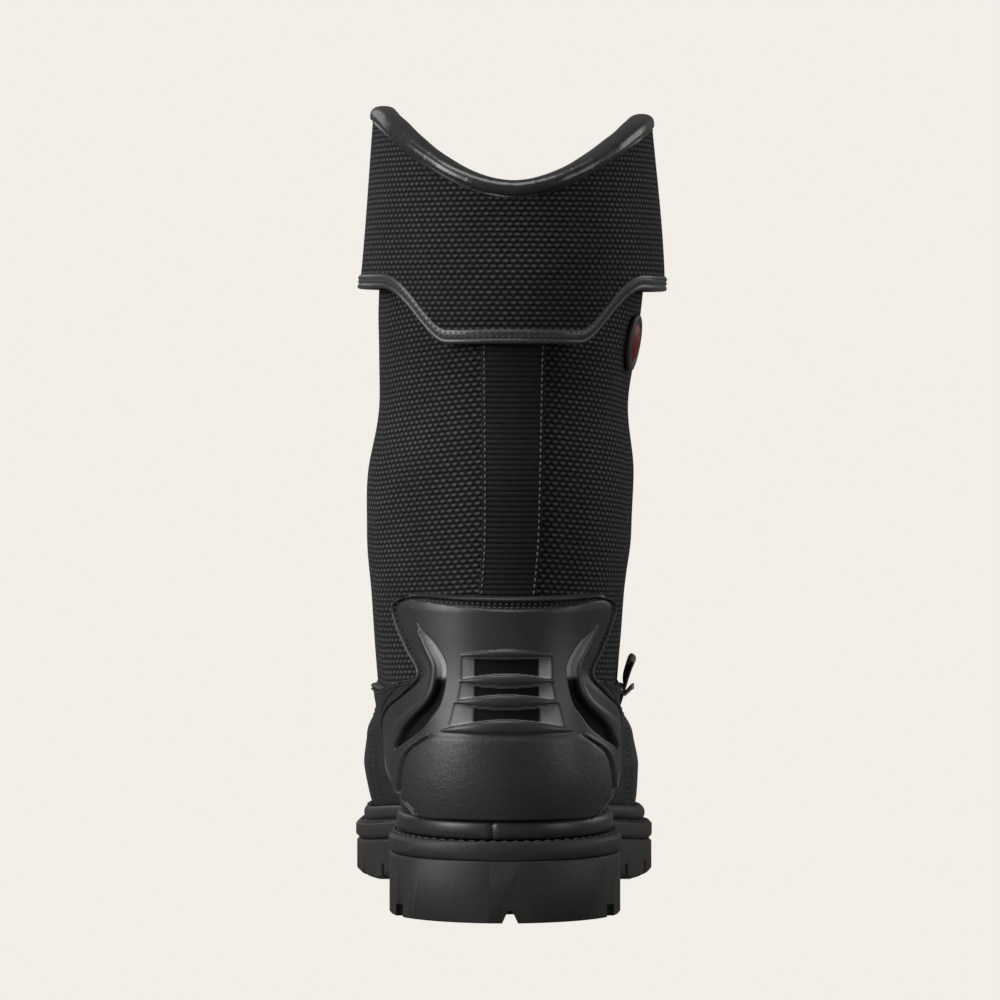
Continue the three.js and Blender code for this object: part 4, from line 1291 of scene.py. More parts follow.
@dataclass
class Collar:
    """The turned-down woven collar in two halves, its hem, its stitches and the rolled top."""

    hem_height: float = 4.8
    hem_lift: float = 4.3
    hem_stand: float = 0.35
    roll_height: float = 8.2
    roll_stand: float = 0.9
    flange: float = 1.7
    tuck: float = 1.6  # how far the cloth's edges reach into the hem and into the roll

    def build(self) -> None:
        """Builds both halves and the roll."""
        for side in Side:
            nodes = ("collar_panel",) if side is Side.MEDIAL else ()
            Piece(f"collar_{side.word}", self.half(side), COLLAR_CLOTH, "woven_cloth",
                  (*nodes, f"pull_flap_{side.word}"), side.flap, 60.0).make()
            hem_nodes = ("hem_back",) if side is Side.MEDIAL else ("hem_front",)
            Piece(f"hem_{side.word}", self.hem(side), HEM_HIDE, "binding_leather",
                  (*hem_nodes, f"flap_hem_{side.word}"), side.flap, 60.0).make()
            self.stitches(side).make()
        Piece("rolled_top", self.roll(), ROLL_HIDE, "binding_leather", ("top_binding",),
              sharp=70.0).make()

    def _turn(self, side: Side, count: int) -> Array:
        """Angles from the back seam round one side to the front."""
        return side.value * np.linspace(0, math.pi, count)

    def half(self, side: Side) -> Shell:
        """One half of the collar: a cloth that hangs from the roll and stands off at the side.

        Its depth is the CAD collar's, with shallow waves that grow towards the free edge.
        """
        rows, cols = 70, 97
        angle = np.broadcast_to(self._turn(side, cols)[None, :], (rows, cols))
        v = np.linspace(0, 1, rows)[:, None] ** 0.95
        h = mix(top_edge(angle), collar_edge(angle) + self.hem_lift - self.tuck, v)
        free = ease(np.abs(np.sin(angle)), 0.5, 0.9)
        wave = 0.55 * v * free * np.sin(9 * angle + 1.3 * side.value) * np.sin(math.pi * v)
        inner = collar_depth(angle, h) + wave
        outer = FORM.skin(angle, h, inner + COLLAR_THICKNESS)
        walked = run_length(FORM.point(angle[:1], 262.0 + 0 * angle[:1]), 1) * side.value
        across, upward = np.broadcast_to(walked, h.shape), h - TAB_BOTTOM + 8.0
        return Shell.between(outer, FORM.skin(angle, h, inner),
                             layout=np.stack([across, upward], -1) * MM)

    def hem(self, side: Side) -> Shell:
        """The tape round the free edge: a flat band above a rounded bead.

        Its section runs up the outside, over the top, down the inside and round the lower edge,
        and is carried along the collar's edge.
        """
        angle = self._turn(side, 141)
        foot, under = -self.hem_height, 0.25
        section = ((foot + 0.2, 0.4), (foot + 0.05, 0.78), (foot + 0.35, 1.08), (foot + 1.0, 1.16),
                   (foot + 1.75, 1.08), (foot + 2.1, 0.94), (foot + 2.5, 1.0), (-1.0, 1.0),
                   (0.6, 0.98), (0.95, 0.8), (0.95, 0.2), (0.6, 0.0), (-2.4, 0.0),
                   (foot + 0.5, 0.1))
        drop, share = np.array(section).T
        edge = collar_edge(angle)[:, None] + self.hem_lift
        inner = collar_depth(angle, collar_edge(angle))[:, None] - under
        thick = COLLAR_THICKNESS + under + self.hem_stand
        rings = FORM.skin(angle[:, None] + 0 * drop, edge + drop, inner + thick * share)
        return Shell.tube(rings)

    def stitches(self, side: Side) -> Piece:
        """Two rows of stitches on the hem tape, following the edge."""
        angle = self._turn(side, 400)
        depth = collar_depth(angle, collar_edge(angle)) + COLLAR_THICKNESS + self.hem_stand
        rows = []
        for drop in (-self.hem_height + 3.0, -0.2):
            h = collar_edge(angle) + self.hem_lift + drop
            rows.append(sewn_row(angle, h, depth - 0.1))
        return sewn(f"hem_stitches_{side.word}", rows, "binding_leather", DARK_THREAD,
                    Stitching(1.7, 2.5, 0.3, 0.05), side.flap)

    def roll(self) -> Shell:
        """The leather rolled over the top edge, with a flat flange under it on the outside.

        The section is an oval from the lining's face to the collar's, flatter at its foot. The
        flange is a small second hump below the roll.
        """
        angle = np.linspace(-math.pi, math.pi, 181)[:-1]
        inner = -CLOTH - GAP - LINING - self.roll_stand
        outer = GAP + COLLAR_THICKNESS + self.roll_stand
        middle, half = (inner + outer) / 2, (outer - inner) / 2
        t = np.linspace(0, TURN, 33)[:-1]
        rise = (self.roll_height / 2) * (1 - np.sign(np.cos(t)) * np.abs(np.cos(t)) ** 0.85)
        depth = middle + half * np.sign(np.sin(t)) * np.abs(np.sin(t)) ** 0.8
        outside = np.sin(t) > 0.15
        notch = np.where(outside, hump(rise, self.flange + 0.5, 0.7), 0.0)
        lower = np.where(outside & (rise < self.flange + 0.4), 0.25, 0.0)
        depth = depth - 0.75 * notch + lower
        lump = 0.18 * np.sin(11 * angle) + 0.12 * np.sin(23 * angle + 1)
        swell = np.where(rise > 3, 1.0, 0.0)
        rings = FORM.skin(angle[:, None] + 0 * t, top_edge(angle)[:, None] - self.tuck + rise,
                          depth + lump[:, None] * swell * np.sign(depth - middle))
        return Shell.tube(rings, wrap=True)


# ------------------------------------------------------------------ heel counter
@dataclass(frozen=True)
class Rib:
    """A lens-shaped bar across the counter: its ends' height, and how far it bows up and down."""

    rise: float
    half: float
    bow_up: float
    bow_down: float
    TIP = 0.25  # half its height at its tips
    HEIGHT = 1.15  # how far it stands out

    def _bow(self, off: Array) -> Array:
        """1 at its middle, 0 at its tips and beyond."""
        return np.clip(1 - (off / self.half) ** 2, 0, 1)

    def upper(self, off: Array) -> Array:
        """Height of its upper edge at a distance from the seam."""
        return self.rise + self.TIP + self.bow_up * self._bow(off)

    def lower(self, off: Array) -> Array:
        """Height of its lower edge at a distance from the seam."""
        return self.rise - self.TIP - self.bow_down * self._bow(off)

    def relief(self, off: Array, rise: Array) -> Array:
        """The bar's own roundness: half an ellipse across it, falling to nothing at its tips."""
        upper, lower = self.upper(off), self.lower(off)
        s = (rise - (upper + lower) / 2) / ((upper - lower) / 2)
        body = np.sqrt(np.clip(1 - s * s, 0, 1))
        return self.HEIGHT * body * self._bow(off) ** 0.6


@dataclass
class HeelCounter:
    """The moulded heel counter: a rim with a sewn groove, crescents, three windows and a bulb."""

    low: float = 9.3
    high: float = 96.0
    face: float = 5.1  # depth of its face
    face_share: float = 1.085  # widths at its face, against those on the form
    middle: float = 0.7  # its middle, to the side of the back seam
    shift: float = 0.028  # how far its medial edge stops short, in radians
    rim_face: float = 4.3
    window_depth: float = 3.1
    backing_half: float = 12.6  # half width of each window's floor, where the backing shows, painted near black as shade
    crescent_depth: float = 2.5
    groove_depth: float = 1.15
    ribs: tuple[Rib, ...] = (Rib(72.2, 17.8, 2.4, 0.3), Rib(61.9, 18.6, 2.6, 1.4),
                             Rib(53.5, 20.5, 2.8, 1.5), Rib(42.3, 25.6, 4.2, 0.6))
    # half widths of the three windows, at their tops and at their feet
    windows: tuple[tuple[float, float], ...] = ((17.4, 17.7), (17.6, 19.0), (20.2, 22.8))
    # how far forward it reaches, and offsets of the crescents' edges and the bulb's, at each rise
    REACH = ((9, 28), (20, 42), (30, 63), (40, 67), (48, 56), (55, 40), (63, 31), (74, 38),
             (84, 44), (91, 44), (96, 34))
    NEAR = ((32.3, 43.5), (38.8, 36.8), (42.6, 32.3), (47.1, 29.1), (51.7, 25.9), (58.7, 23.9),
            (65.5, 23.0), (70, 23.7), (76.3, 27.7), (84.5, 35.2))
    AWAY = ((32.3, 44.4), (38.8, 42.5), (42.6, 40.6), (47.1, 36.8), (51.7, 32.2), (56.2, 29.2),
            (62, 27.6), (68.1, 27.5), (76.3, 31.6), (84.5, 35.6))
    BULB = ((9, 42.6), (20, 41.8), (26.6, 41.0), (32.3, 38.9), (36.2, 34.8), (39.7, 30.0),
            (42.8, 25.0))

    def build(self) -> None:
        """Builds the counter and its stitches."""
        shell = self.panel().shell(self.masks)
        Piece("heel_counter_moulded", shell, COUNTER_RUBBER, "moulded_rubber",
              ("heel_counter", "counter_backing"), sharp=60.0).make()
        rows = [self.inset_path(2.9), self.inset_path(4.4)]
        sewn("counter_stitches", rows, "moulded_rubber", GREY_THREAD,
             Stitching(1.4, 2.25, 0.36, 0.0)).make()

    def reach(self, h: Array) -> Array:
        """How far forward the counter reaches at each height: an hourglass with a wide foot."""
        return by_rise(self.REACH, h)

    def edge(self, h: Array) -> Array:
        """Angle of the counter's edge at each height."""
        return FORM.angle_at_y(h, self.reach(h))

    def inner(self, angle: Array, h: Array) -> Array:
        """Depth of its inner face: over the quarters and the strap, else close to the cloth."""
        point = FORM.point(angle, h)
        reach = self.reach(h)
        over_quarter = ease(point[..., 1], reach - 16, reach - 11) * (1 - ease(h, up(62), up(67)))
        off = np.abs(point[..., 0] - FORM.seam_at(h))
        over_strap = (1 - ease(off, 14, 18)) * ease(h, up(80), up(85))
        return 0.35 + np.maximum(over_quarter * 2.3, over_strap * 1.8)

    def panel(self) -> Panel:
        """The counter's grid, its faces and its relief."""
        def outer(angle: Array, h: Array) -> Array:
            """The face, a little lower along the top and upper side edges."""
            ahead = self.reach(h) - FORM.point(angle, h)[..., 1]
            rim = ease(ahead, 0, 8) * ease(up(self.high) - h, 0, 7)
            low_rim = mix(self.rim_face + 0.5, self.rim_face, ease(h, up(56), up(66)))
            return mix(low_rim, self.face, rim)

        return Panel(lambda h: self.shift - self.edge(h), self.edge, held(up(self.low)),
                     held(up(self.high)), self.inner, outer, (244, 186), (150.0, 90.0), 1.1,
                     relief=self.relief, focus=((0.0, 0.27, 0.80, 1.0), (0.0, 0.37, 0.78, 1.0)))

    def _place(self, g: PanelGrid) -> tuple[Array, Array, Array]:
        """Distance from the counter's middle at its face, height above the seat, edge distance."""
        off = np.abs(g.off_seam - self.middle) * self.face_share
        return off, g.rise, self._from_edge(g)

    def _from_edge(self, g: PanelGrid) -> Array:
        """Distance from the sides and the top, with the corners rounded."""
        side, top, radius = g.to_side, g.upward[-1:] - g.upward, 7.0
        corner = radius - np.hypot(np.maximum(radius - side, 0), np.maximum(radius - top, 0))
        return np.where((side < radius) & (top < radius), corner, np.minimum(side, top))

    def _crescent(self, off: Array, rise: Array) -> tuple[Array, Array]:
        """Share across a crescent recess, and the recess's depth where it is widest."""
        near = curve(self.NEAR, rise)
        width = np.maximum(curve(self.AWAY, rise) - near, 0.05)
        inside = (rise > self.NEAR[0][0] + 0.2) & (rise < self.NEAR[-1][0] - 0.2)
        return np.where(inside, (off - near) / width, -1.0), np.minimum(width * 0.6, 1.0) * inside

    def _window(self, off: Array, rise: Array) -> tuple[Array, Array]:
        """How deep each point lies in a window, from 0 to 1, and where its floor is painted near
        black as shade.

        A window lies between the lower edge of one rib and the upper edge of the next. Its sides
        slant in as far as its floor and its ends are steep.
        """
        deep = np.zeros_like(off)
        for over, under, (high_half, low_half) in zip(self.ribs, self.ribs[1:], self.windows):
            top, bottom = over.lower(off), under.upper(off)
            t = np.clip((rise - bottom) / (top - bottom), 0, 1)
            half = mix(low_half, high_half, t)
            inward, facet = half - off, half - self.backing_half
            slant = np.clip(inward / facet, 0, 1) * ease(inward, 0, 0.5)
            ends = ease(rise, bottom - 0.2, bottom + 1.0) * (1 - ease(rise, top - 1.0, top + 0.2))
            deep = np.maximum(deep, slant * ends)
        return deep, ease(deep, 0.80, 0.95)

    def relief(self, g: PanelGrid) -> Array:
        """Everything that stands out of the counter's face or is sunk in it."""
        off, rise, edge = self._place(g)
        wide = ease(rise, 66, 78)
        far_side = mix(4.4, 5.8, wide)
        bead = 0.6 * hump(edge, 1.2, 1.2)
        trough = ease(edge, 2.0, 2.6) * (1 - ease(edge, far_side - 0.7, far_side))
        groove = -mix(0.75, self.groove_depth, wide) * trough
        share, depth = self._crescent(off, rise)
        fall = mix(1.3 * ease(share, 0.0, 0.32), np.clip(share / 0.86, 0, 1), ease(rise, 59, 65))
        scoop = -self.crescent_depth * depth * fall * (1 - ease(share, 0.86, 1.04)) * (share > 0)
        lip = 0.45 * hump(share, 1.3, 0.32) * depth
        deep, _ = self._window(off, rise)
        ribs = np.maximum.reduce([rib.relief(off, rise) for rib in self.ribs])
        bulb_half = curve(self.BULB, rise)
        bulb = 0.6 * ease(bulb_half - off, 0.1, 1.5) * (1 - ease(rise, 38.5, 41.5))
        drawn = (1 - ease(rise, 39.2, 41)) * ease(rise, 15, 20)
        line, ridge = hump(off, bulb_half + 0.3, 0.6), hump(off, bulb_half + 1.5, 0.8)
        arc = (0.6 * ridge - 1.0 * line) * drawn
        return bead + groove + scoop + lip + ribs - self.window_depth * deep + bulb + arc

    def masks(self, g: PanelGrid) -> dict[str, Array]:
        """Where the rubber is pebbled, where painted shade darkens a recess, and where a painted
        highlight lightens a slope.
        """
        off, rise, edge = self._place(g)
        share, depth = self._crescent(off, rise)
        inside = (depth > 0.25) * ease(share, 0.0, 0.12) * (1 - ease(share, 0.95, 1.05))
        bright = ease(rise, 61.5, 64)
        deep, shaded_backing = self._window(off, rise)
        groove = 0.85 * ease(edge, 2.0, 2.5) * (1 - ease(edge, 4.2, 5.4)) * ease(rise, 34, 40)
        bulb_half = curve(self.BULB, rise)
        slit = 0.9 * hump(off, bulb_half + 0.3, 0.55) * (1 - ease(rise, 39, 41))
        slit = slit * ease(rise, 18, 22)
        bulb = ease(bulb_half - off, 0.5, 3.0) * (1 - ease(rise, 38, 42))
        facet = ease(deep, 0.02, 0.12) * (1 - shaded_backing)
        # Painted shade: the crescents' lower parts, the window floors, the sewn groove and the
        # bulb's slit line. Painted highlight: the crescents' upper parts and, more faintly, the
        # windows' slanted sides.
        return {"cavity": np.maximum.reduce([inside * (1 - bright), shaded_backing, groove, slit]),
                "pebble": np.maximum(bulb, 0.15),
                "polish": np.maximum(inside * bright, 0.6 * facet)}

    def inset_path(self, inset: float) -> tuple[Array, Array]:
        """A path that stays inset inside the edge: up one side, over the top and down the other."""
        turn, count = 2.2, 160
        h = np.linspace(up(36), up(self.high) - inset - turn, count)
        speed = FORM.speed(self.edge(h), h)
        side = self.edge(h) - inset / speed
        corner = side[-1] - turn / speed[-1]
        over = np.linspace(corner, self.shift - corner, count)
        angle = np.concatenate([side, over, self.shift - side[::-1]])
        height = np.concatenate([h, np.full(count, up(self.high) - inset), h[::-1]])
        depth = self.rim_face + 0.45 - self.groove_depth
        return sewn_row(angle, height, depth)


# ------------------------------------------------------------------ leather foot
@dataclass
class Foot:
    """The leather quarters and vamp, the toe bumper and the flexing instep panel."""

    counter: HeelCounter
    low: float = 2.0
    quarter_top: float = 56.0
    top_lift: float = 6.0  # how much higher the quarters' top is beside the counter
    top_fall: float = 5.0  # how much lower it is at the vamp
    vamp_top: float = 66.0
    lap: float = 7.0  # how far the quarters lie over the vamp
    bumper_setback: float = 72.0
    drawn_in: float = 2.4  # how far the leather is drawn in at the sides of the ball
    seam: tuple[float, float] = (188.0, 150.0)  # how far forward it is, at its foot and top
    quarter_face: float = 2.5
    vamp_face: float = 2.3
    bumper_span: tuple[float, float] = (9.6, 36.0)  # rises
    bumper_bars: tuple[float, ...] = (15.5, 22.0, 28.5)
    bellows_span: tuple[float, float] = (67.0, 100.0)
    bellows_half: float = 0.84  # in radians
    bellows_pitch: float = 5.5

    def build(self) -> None:
        """Builds every leather and rubber part of the foot."""
        for side in Side:
            self.quarter(side)
        self.vamp()
        self.bumper()
        self.instep()

    def seam_y(self, h: Array) -> Array:
        """How far forward the seam between quarter and vamp runs at each height."""
        return mix(*self.seam, (h - up(-8)) / 76.0)

    def slim(self, angle: Array, h: Array) -> Array:
        """How far the leather is drawn in: most at the sides of the ball, above the bumper."""
        sides = hump(FORM.point(angle, h)[..., 1], 196, 64) * ease(np.abs(np.sin(angle)), 0.45, 0.8)
        return self.drawn_in * sides * ease(h, up(18), up(28)) * (1 - ease(h, up(44), up(51)))

    def quarter(self, side: Side) -> None:
        """A quarter: leather from under the counter to its lap over the vamp, sewn at its edges."""
        sign = side.value

        def top(u: Array) -> Array:
            """Its top edge, which rises to meet the counter."""
            return up(self.quarter_top + self.top_lift * (1 - ease(u, 0.1, 0.34))
                      - self.top_fall * ease(u, 0.42, 0.9))

        def rear(h: Array) -> Array:
            """Its hidden rear edge under the counter."""
            return sign * FORM.angle_at_y(h, self.counter.reach(h) - 9)

        def front(h: Array) -> Array:
            """Its front edge, ahead of the seam by the lap."""
            return sign * FORM.angle_at_y(h, self.seam_y(h) + self.lap)

        def relief(g: PanelGrid) -> Array:
            """Thicker over the lap, with a folded top edge, a slanting seam and faint creases."""
            to_front = g.across[:, -1:] - g.across
            over = 0.3 * (1 - ease(to_front, self.lap + 1, self.lap + 4))
            fold = 0.5 * (1 - ease(g.upward[-1:] - g.upward, 3.0, 4.2))
            line = g.across - 26 - 0.55 * (up(50) - g.h)
            seam = -0.4 * hump(line, 0, 1.6) + 0.3 * hump(line, 2.6, 2.0)
            calm = ease(g.to_side, 10, 26) * ease(g.to_end, 5, 16)
            crease = 0.3 * calm * np.sin(0.5 * g.h + 1.5 * np.sin(0.11 * g.across))
            return over + fold + seam + crease

        def inner(angle: Array, h: Array) -> Array:
            """Close to the form, and over the vamp along the lap."""
            ahead = FORM.point(angle, h)[..., 1] - self.seam_y(h)
            return 0.3 + 1.0 * ease(ahead, -2.5, -0.5) - self.slim(angle, h)

        panel = Panel(rear, front, held(up(self.low)), top, inner,
                      lambda angle, h: self.quarter_face - self.slim(angle, h), (190, 84),
                      (130.0, 56.0), 1.3, relief=relief)
        Piece(f"quarter_{side.word}_leather", panel.shell(), FOOT_HIDE, "smooth_leather",
              (f"quarter_{side.word}",)).make()
        u = np.linspace(0.12, 0.985, 220)
        h = top(u) - 2.3
        angle = mix(rear(h), front(h), u)
        rows = [sewn_row(angle, h, 3.0 - self.slim(angle, h))]
        level = np.linspace(up(8), up(self.quarter_top - self.top_fall - 3), 120)
        for back in (2.2, 4.6):
            turn = sign * FORM.angle_at_y(level, self.seam_y(level) + self.lap - back)
            rows.append(sewn_row(turn, level, 2.8 - self.slim(turn, level)))
        sewn(f"quarter_{side.word}_stitches", rows, "smooth_leather",
             stitch=Stitching(1.7, 2.5, 0.26, 0.14)).make()

    def vamp(self) -> None:
        """The vamp: leather over the toes from seam to seam, with creases across the ball."""
        def start(h: Array) -> Array:
            """Its edge at the lateral seam."""
            return FORM.angle_at_y(h, self.seam_y(h))

        def top(u: Array) -> Array:
            """Its top edge: low at the seams, where the quarters cover it, and high in front."""
            side = self.quarter_top - self.top_fall - 1.2
            return up(mix(side, self.vamp_top, ease(np.minimum(u, 1 - u), 0.13, 0.36)))

        def outer(angle: Array, h: Array) -> Array:
            """Its face, which dips under the quarters along the lap."""
            ahead = FORM.point(angle, h)[..., 1] - self.seam_y(h)
            face = mix(1.2, self.vamp_face, ease(ahead, self.lap + 0.5, self.lap + 6))
            return face - self.slim(angle, h)

        def relief(g: PanelGrid) -> Array:
            """Walking creases across the ball of the foot and a pressed line over the toe cap."""
            y, x = g.points[..., 1], g.points[..., 0]
            high = ease(g.h, up(24), up(44))
            crease = 0.42 * hump(y, 222, 24) * np.sin(0.42 * y + 0.0009 * x ** 2 + 0.02 * x)
            cap = -0.3 * hump(y, 262, 2.0)
            return (crease * high + cap) * ease(g.to_end, 2, 10)

        panel = Panel(start, lambda h: TURN - start(h), held(up(self.low)), top,
                      lambda angle, h: 0.1 - self.slim(angle, h), outer, (190, 80), (300.0, 66.0),
                      1.2, relief=relief)
        Piece("vamp_leather", panel.shell(), FOOT_HIDE, "smooth_leather", ("vamp",)).make()

    def bumper(self) -> None:
        """The moulded toe bumper with three raised bars."""
        def start(h: Array) -> Array:
            """Its lateral edge."""
            return FORM.angle_at_y(h, SOLE_LENGTH - self.bumper_setback + 0.25 * (h - up(10)))

        def relief(g: PanelGrid) -> Array:
            """Bars round the toe that fade out at the sides."""
            inside = ease(g.to_side, 6, 18)
            return inside * sum(0.9 * hump(g.rise, bar, 2.6) for bar in self.bumper_bars)

        low, high = self.bumper_span
        panel = Panel(start, lambda h: TURN - start(h), held(up(low)), held(up(high)), 2.6, 4.7,
                      (150, 60), (190.0, 27.0), 1.4, relief=relief)
        Piece("toe_bumper_moulded", panel.shell(), WELT_RUBBER, "moulded_rubber",
              ("toe_bumper",)).make()

    def instep(self) -> None:
        """The bellows panel over the instep."""
        low, high = self.bellows_span
        half = self.bellows_half

        def relief(g: PanelGrid) -> Array:
            """Round ridges across the panel, inside a flat border."""
            inside = ease(np.minimum(g.to_side, g.to_end), 2.5, 5.5)
            return inside * 1.7 * np.sin(math.pi * (g.h - up(low)) / self.bellows_pitch) ** 2

        panel = Panel(held(math.pi - half), held(math.pi + half), held(up(low)), held(up(high)),
                      0.4, 2.7, (70, 80), (90.0, 40.0), 1.2, relief=relief)
        Piece("instep_bellows", panel.shell(), WELT_RUBBER, "moulded_rubber",
              ("instep_flex_panel",)).make()


# ------------------------------------------------------------------ bottom unit
@dataclass
class Bottom:
    """The sole units, the rand and welt that close the joint above them, and their stitches."""

    roll_height: float = 7.6
    roll_width: float = 4.8
    rand_half: float = math.radians(60)
    seam_off: float = -3.9  # where the rand's ends meet, across the boot
    edge_radius: float = 0.18
    footbed_radius: float = 1.2
    stitch_off: float = 0.9  # how far outside the rolls the stitches lie

    def build(self) -> None:
        """Builds the rolls and dresses the sole units."""
        for node in ("midsole", "outsole_forepart", "heel_block"):
            self.softened(node, f"{node}_moulded", SOLE, "sole_rubber", self.edge_radius)
        self.softened("footbed", "footbed_covered", FOOTBED_FOAM, "foam", self.footbed_radius,
                      0.8)
        Piece("heel_rand_strip", self.rand(), COUNTER_RUBBER, "moulded_rubber", ("heel_rand",),
              sharp=50.0).make()
        Piece("forepart_welt_roll", self.welt(), WELT_RUBBER, "gloss_rubber", ("forepart_welt",),
              sharp=50.0).make()
        self.stitches().make()

    def softened(self, node: str, name: str, finish: Finish, slot: str, radius: float,
                 fill: float | None = None) -> None:
        """A copy of a CAD node with its edges rounded off.

        Args:
            node: The CAD node.
            name: The new piece's name.
            finish: Its finish.
            slot: Its material slot.
            radius: Radius of the rounded edges.
            fill: How full it is, where it is padded.
        """
        item = bpy.data.objects[node].copy()
        item.data = item.data.copy()
        for key in [key for key in item.keys() if key.startswith("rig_")]:
            del item[key]
        item.name = item.data.name = name
        item.parent = None
        bpy.context.scene.collection.objects.link(item)
        bpy.context.view_layer.objects.active = item
        for other in bpy.context.selected_objects:
            other.select_set(False)
        item.select_set(True)
        bpy.ops.object.mode_set(mode="EDIT")
        bpy.ops.mesh.select_all(action="SELECT")
        bpy.ops.mesh.remove_doubles(threshold=0.00002)
        bpy.ops.object.mode_set(mode="OBJECT")
        bpy.context.scene.collection.objects.unlink(item)
        item.data.shade_smooth()
        item.data.set_sharp_from_angle(angle=math.radians(32))
        bevel = item.modifiers.new("rounded edges", "BEVEL")
        bevel.width, bevel.segments, bevel.limit_method = radius * MM, 3, "ANGLE"
        bevel.angle_limit = math.radians(38)
        bevel.harden_normals = True
        Piece(name, None, finish, slot, (node,), fill=fill).dress(item)

    def _roll(self, angle: Array, section: Sequence[tuple[float, float]],
              swell: Array | float = 0.0) -> Array:
        """Rings of a roll between the upper and the midsole's ledge.

        Each ring runs out along the ledge, up round the roll and back to the upper. The section is
        given as shares of the roll's width and height.
        """
        inner = 2 * GAP + LEATHER + FINE - 0.5
        foot = FORM.skin(angle, up(1) + 0 * angle, inner)
        out = FORM.outward(angle)
        shoulder = FORM.skin(angle, up(self.roll_height) + 0 * angle, inner)
        lean = np.einsum("ij,ij->i", (shoulder - foot)[:, :2], out[:, :2])
        rows = []
        for reach, rise in section:
            away = (self.roll_width + swell) * reach + np.where(reach < 0.5, lean * rise, 0.0)
            p = foot + out * away[:, None]
            p[:, 2] = FORM.seat(np.clip(p[:, 1], 0, SOLE_LENGTH)) + FINE + self.roll_height * rise
            rows.append(p)
        return np.stack(rows, 1)

    def rand(self) -> Shell:
        """The strip round the heel: a flat leaning face with soft edges, cut square at its ends.

        Its face dips in a narrow line where its two ends meet.
        """
        end = self.rand_half
        angle = np.concatenate([[-end, -end + 0.004], np.linspace(-end + 0.012, end - 0.012, 150),
                                [end - 0.004, end]])
        section = [(0, 0.05), (0.7, 0.05), (0.88, 0.08), (0.99, 0.2), (1.04, 0.45), (1.02, 0.75),
                   (0.93, 0.92), (0.78, 1.0), (0.55, 1.03), (0.25, 1.0), (0.0, 0.9)]
        across = FORM.point(angle, up(1))[:, 0]
        joint = -1.3 * hump(across, self.seam_off, 0.9)
        corner = -0.9 * (1 - ease(end - np.abs(angle), 0, 0.02))
        return Shell.tube(self._roll(angle, section, joint + corner + 0.3))

    def welt(self) -> Shell:
        """The rounder, glossier roll round the rest of the boot."""
        start = self.rand_half + 0.01
        angle = np.linspace(start, TURN - start, 260)
        t = np.linspace(-0.5 * math.pi, 0.62 * math.pi, 13)
        section = [(0, 0.03), *zip(0.42 + 0.56 * np.cos(t), 0.46 + 0.43 * np.sin(t)), (0.0, 0.86)]
        return Shell.tube(self._roll(angle, section))

    def stitches(self) -> Piece:
        """Uneven stitches in the joint between the rolls and the midsole."""
        angle = np.linspace(-math.pi, math.pi, 900)
        out = FORM.outward(angle)
        path = FORM.skin(angle, up(1) + 0 * angle, 3.3) + out * (self.roll_width + self.stitch_off)
        path[:, 2] = FORM.seat(np.clip(path[:, 1], 0, SOLE_LENGTH)) + 0.15
        upright = np.broadcast_to(np.array([0.0, 0.0, 1.0]), path.shape)
        return sewn("welt_stitches", [(path, upright)], "moulded_rubber", DARK_THREAD,
                    Stitching(3.0, 4.4, 0.42, 0.25))


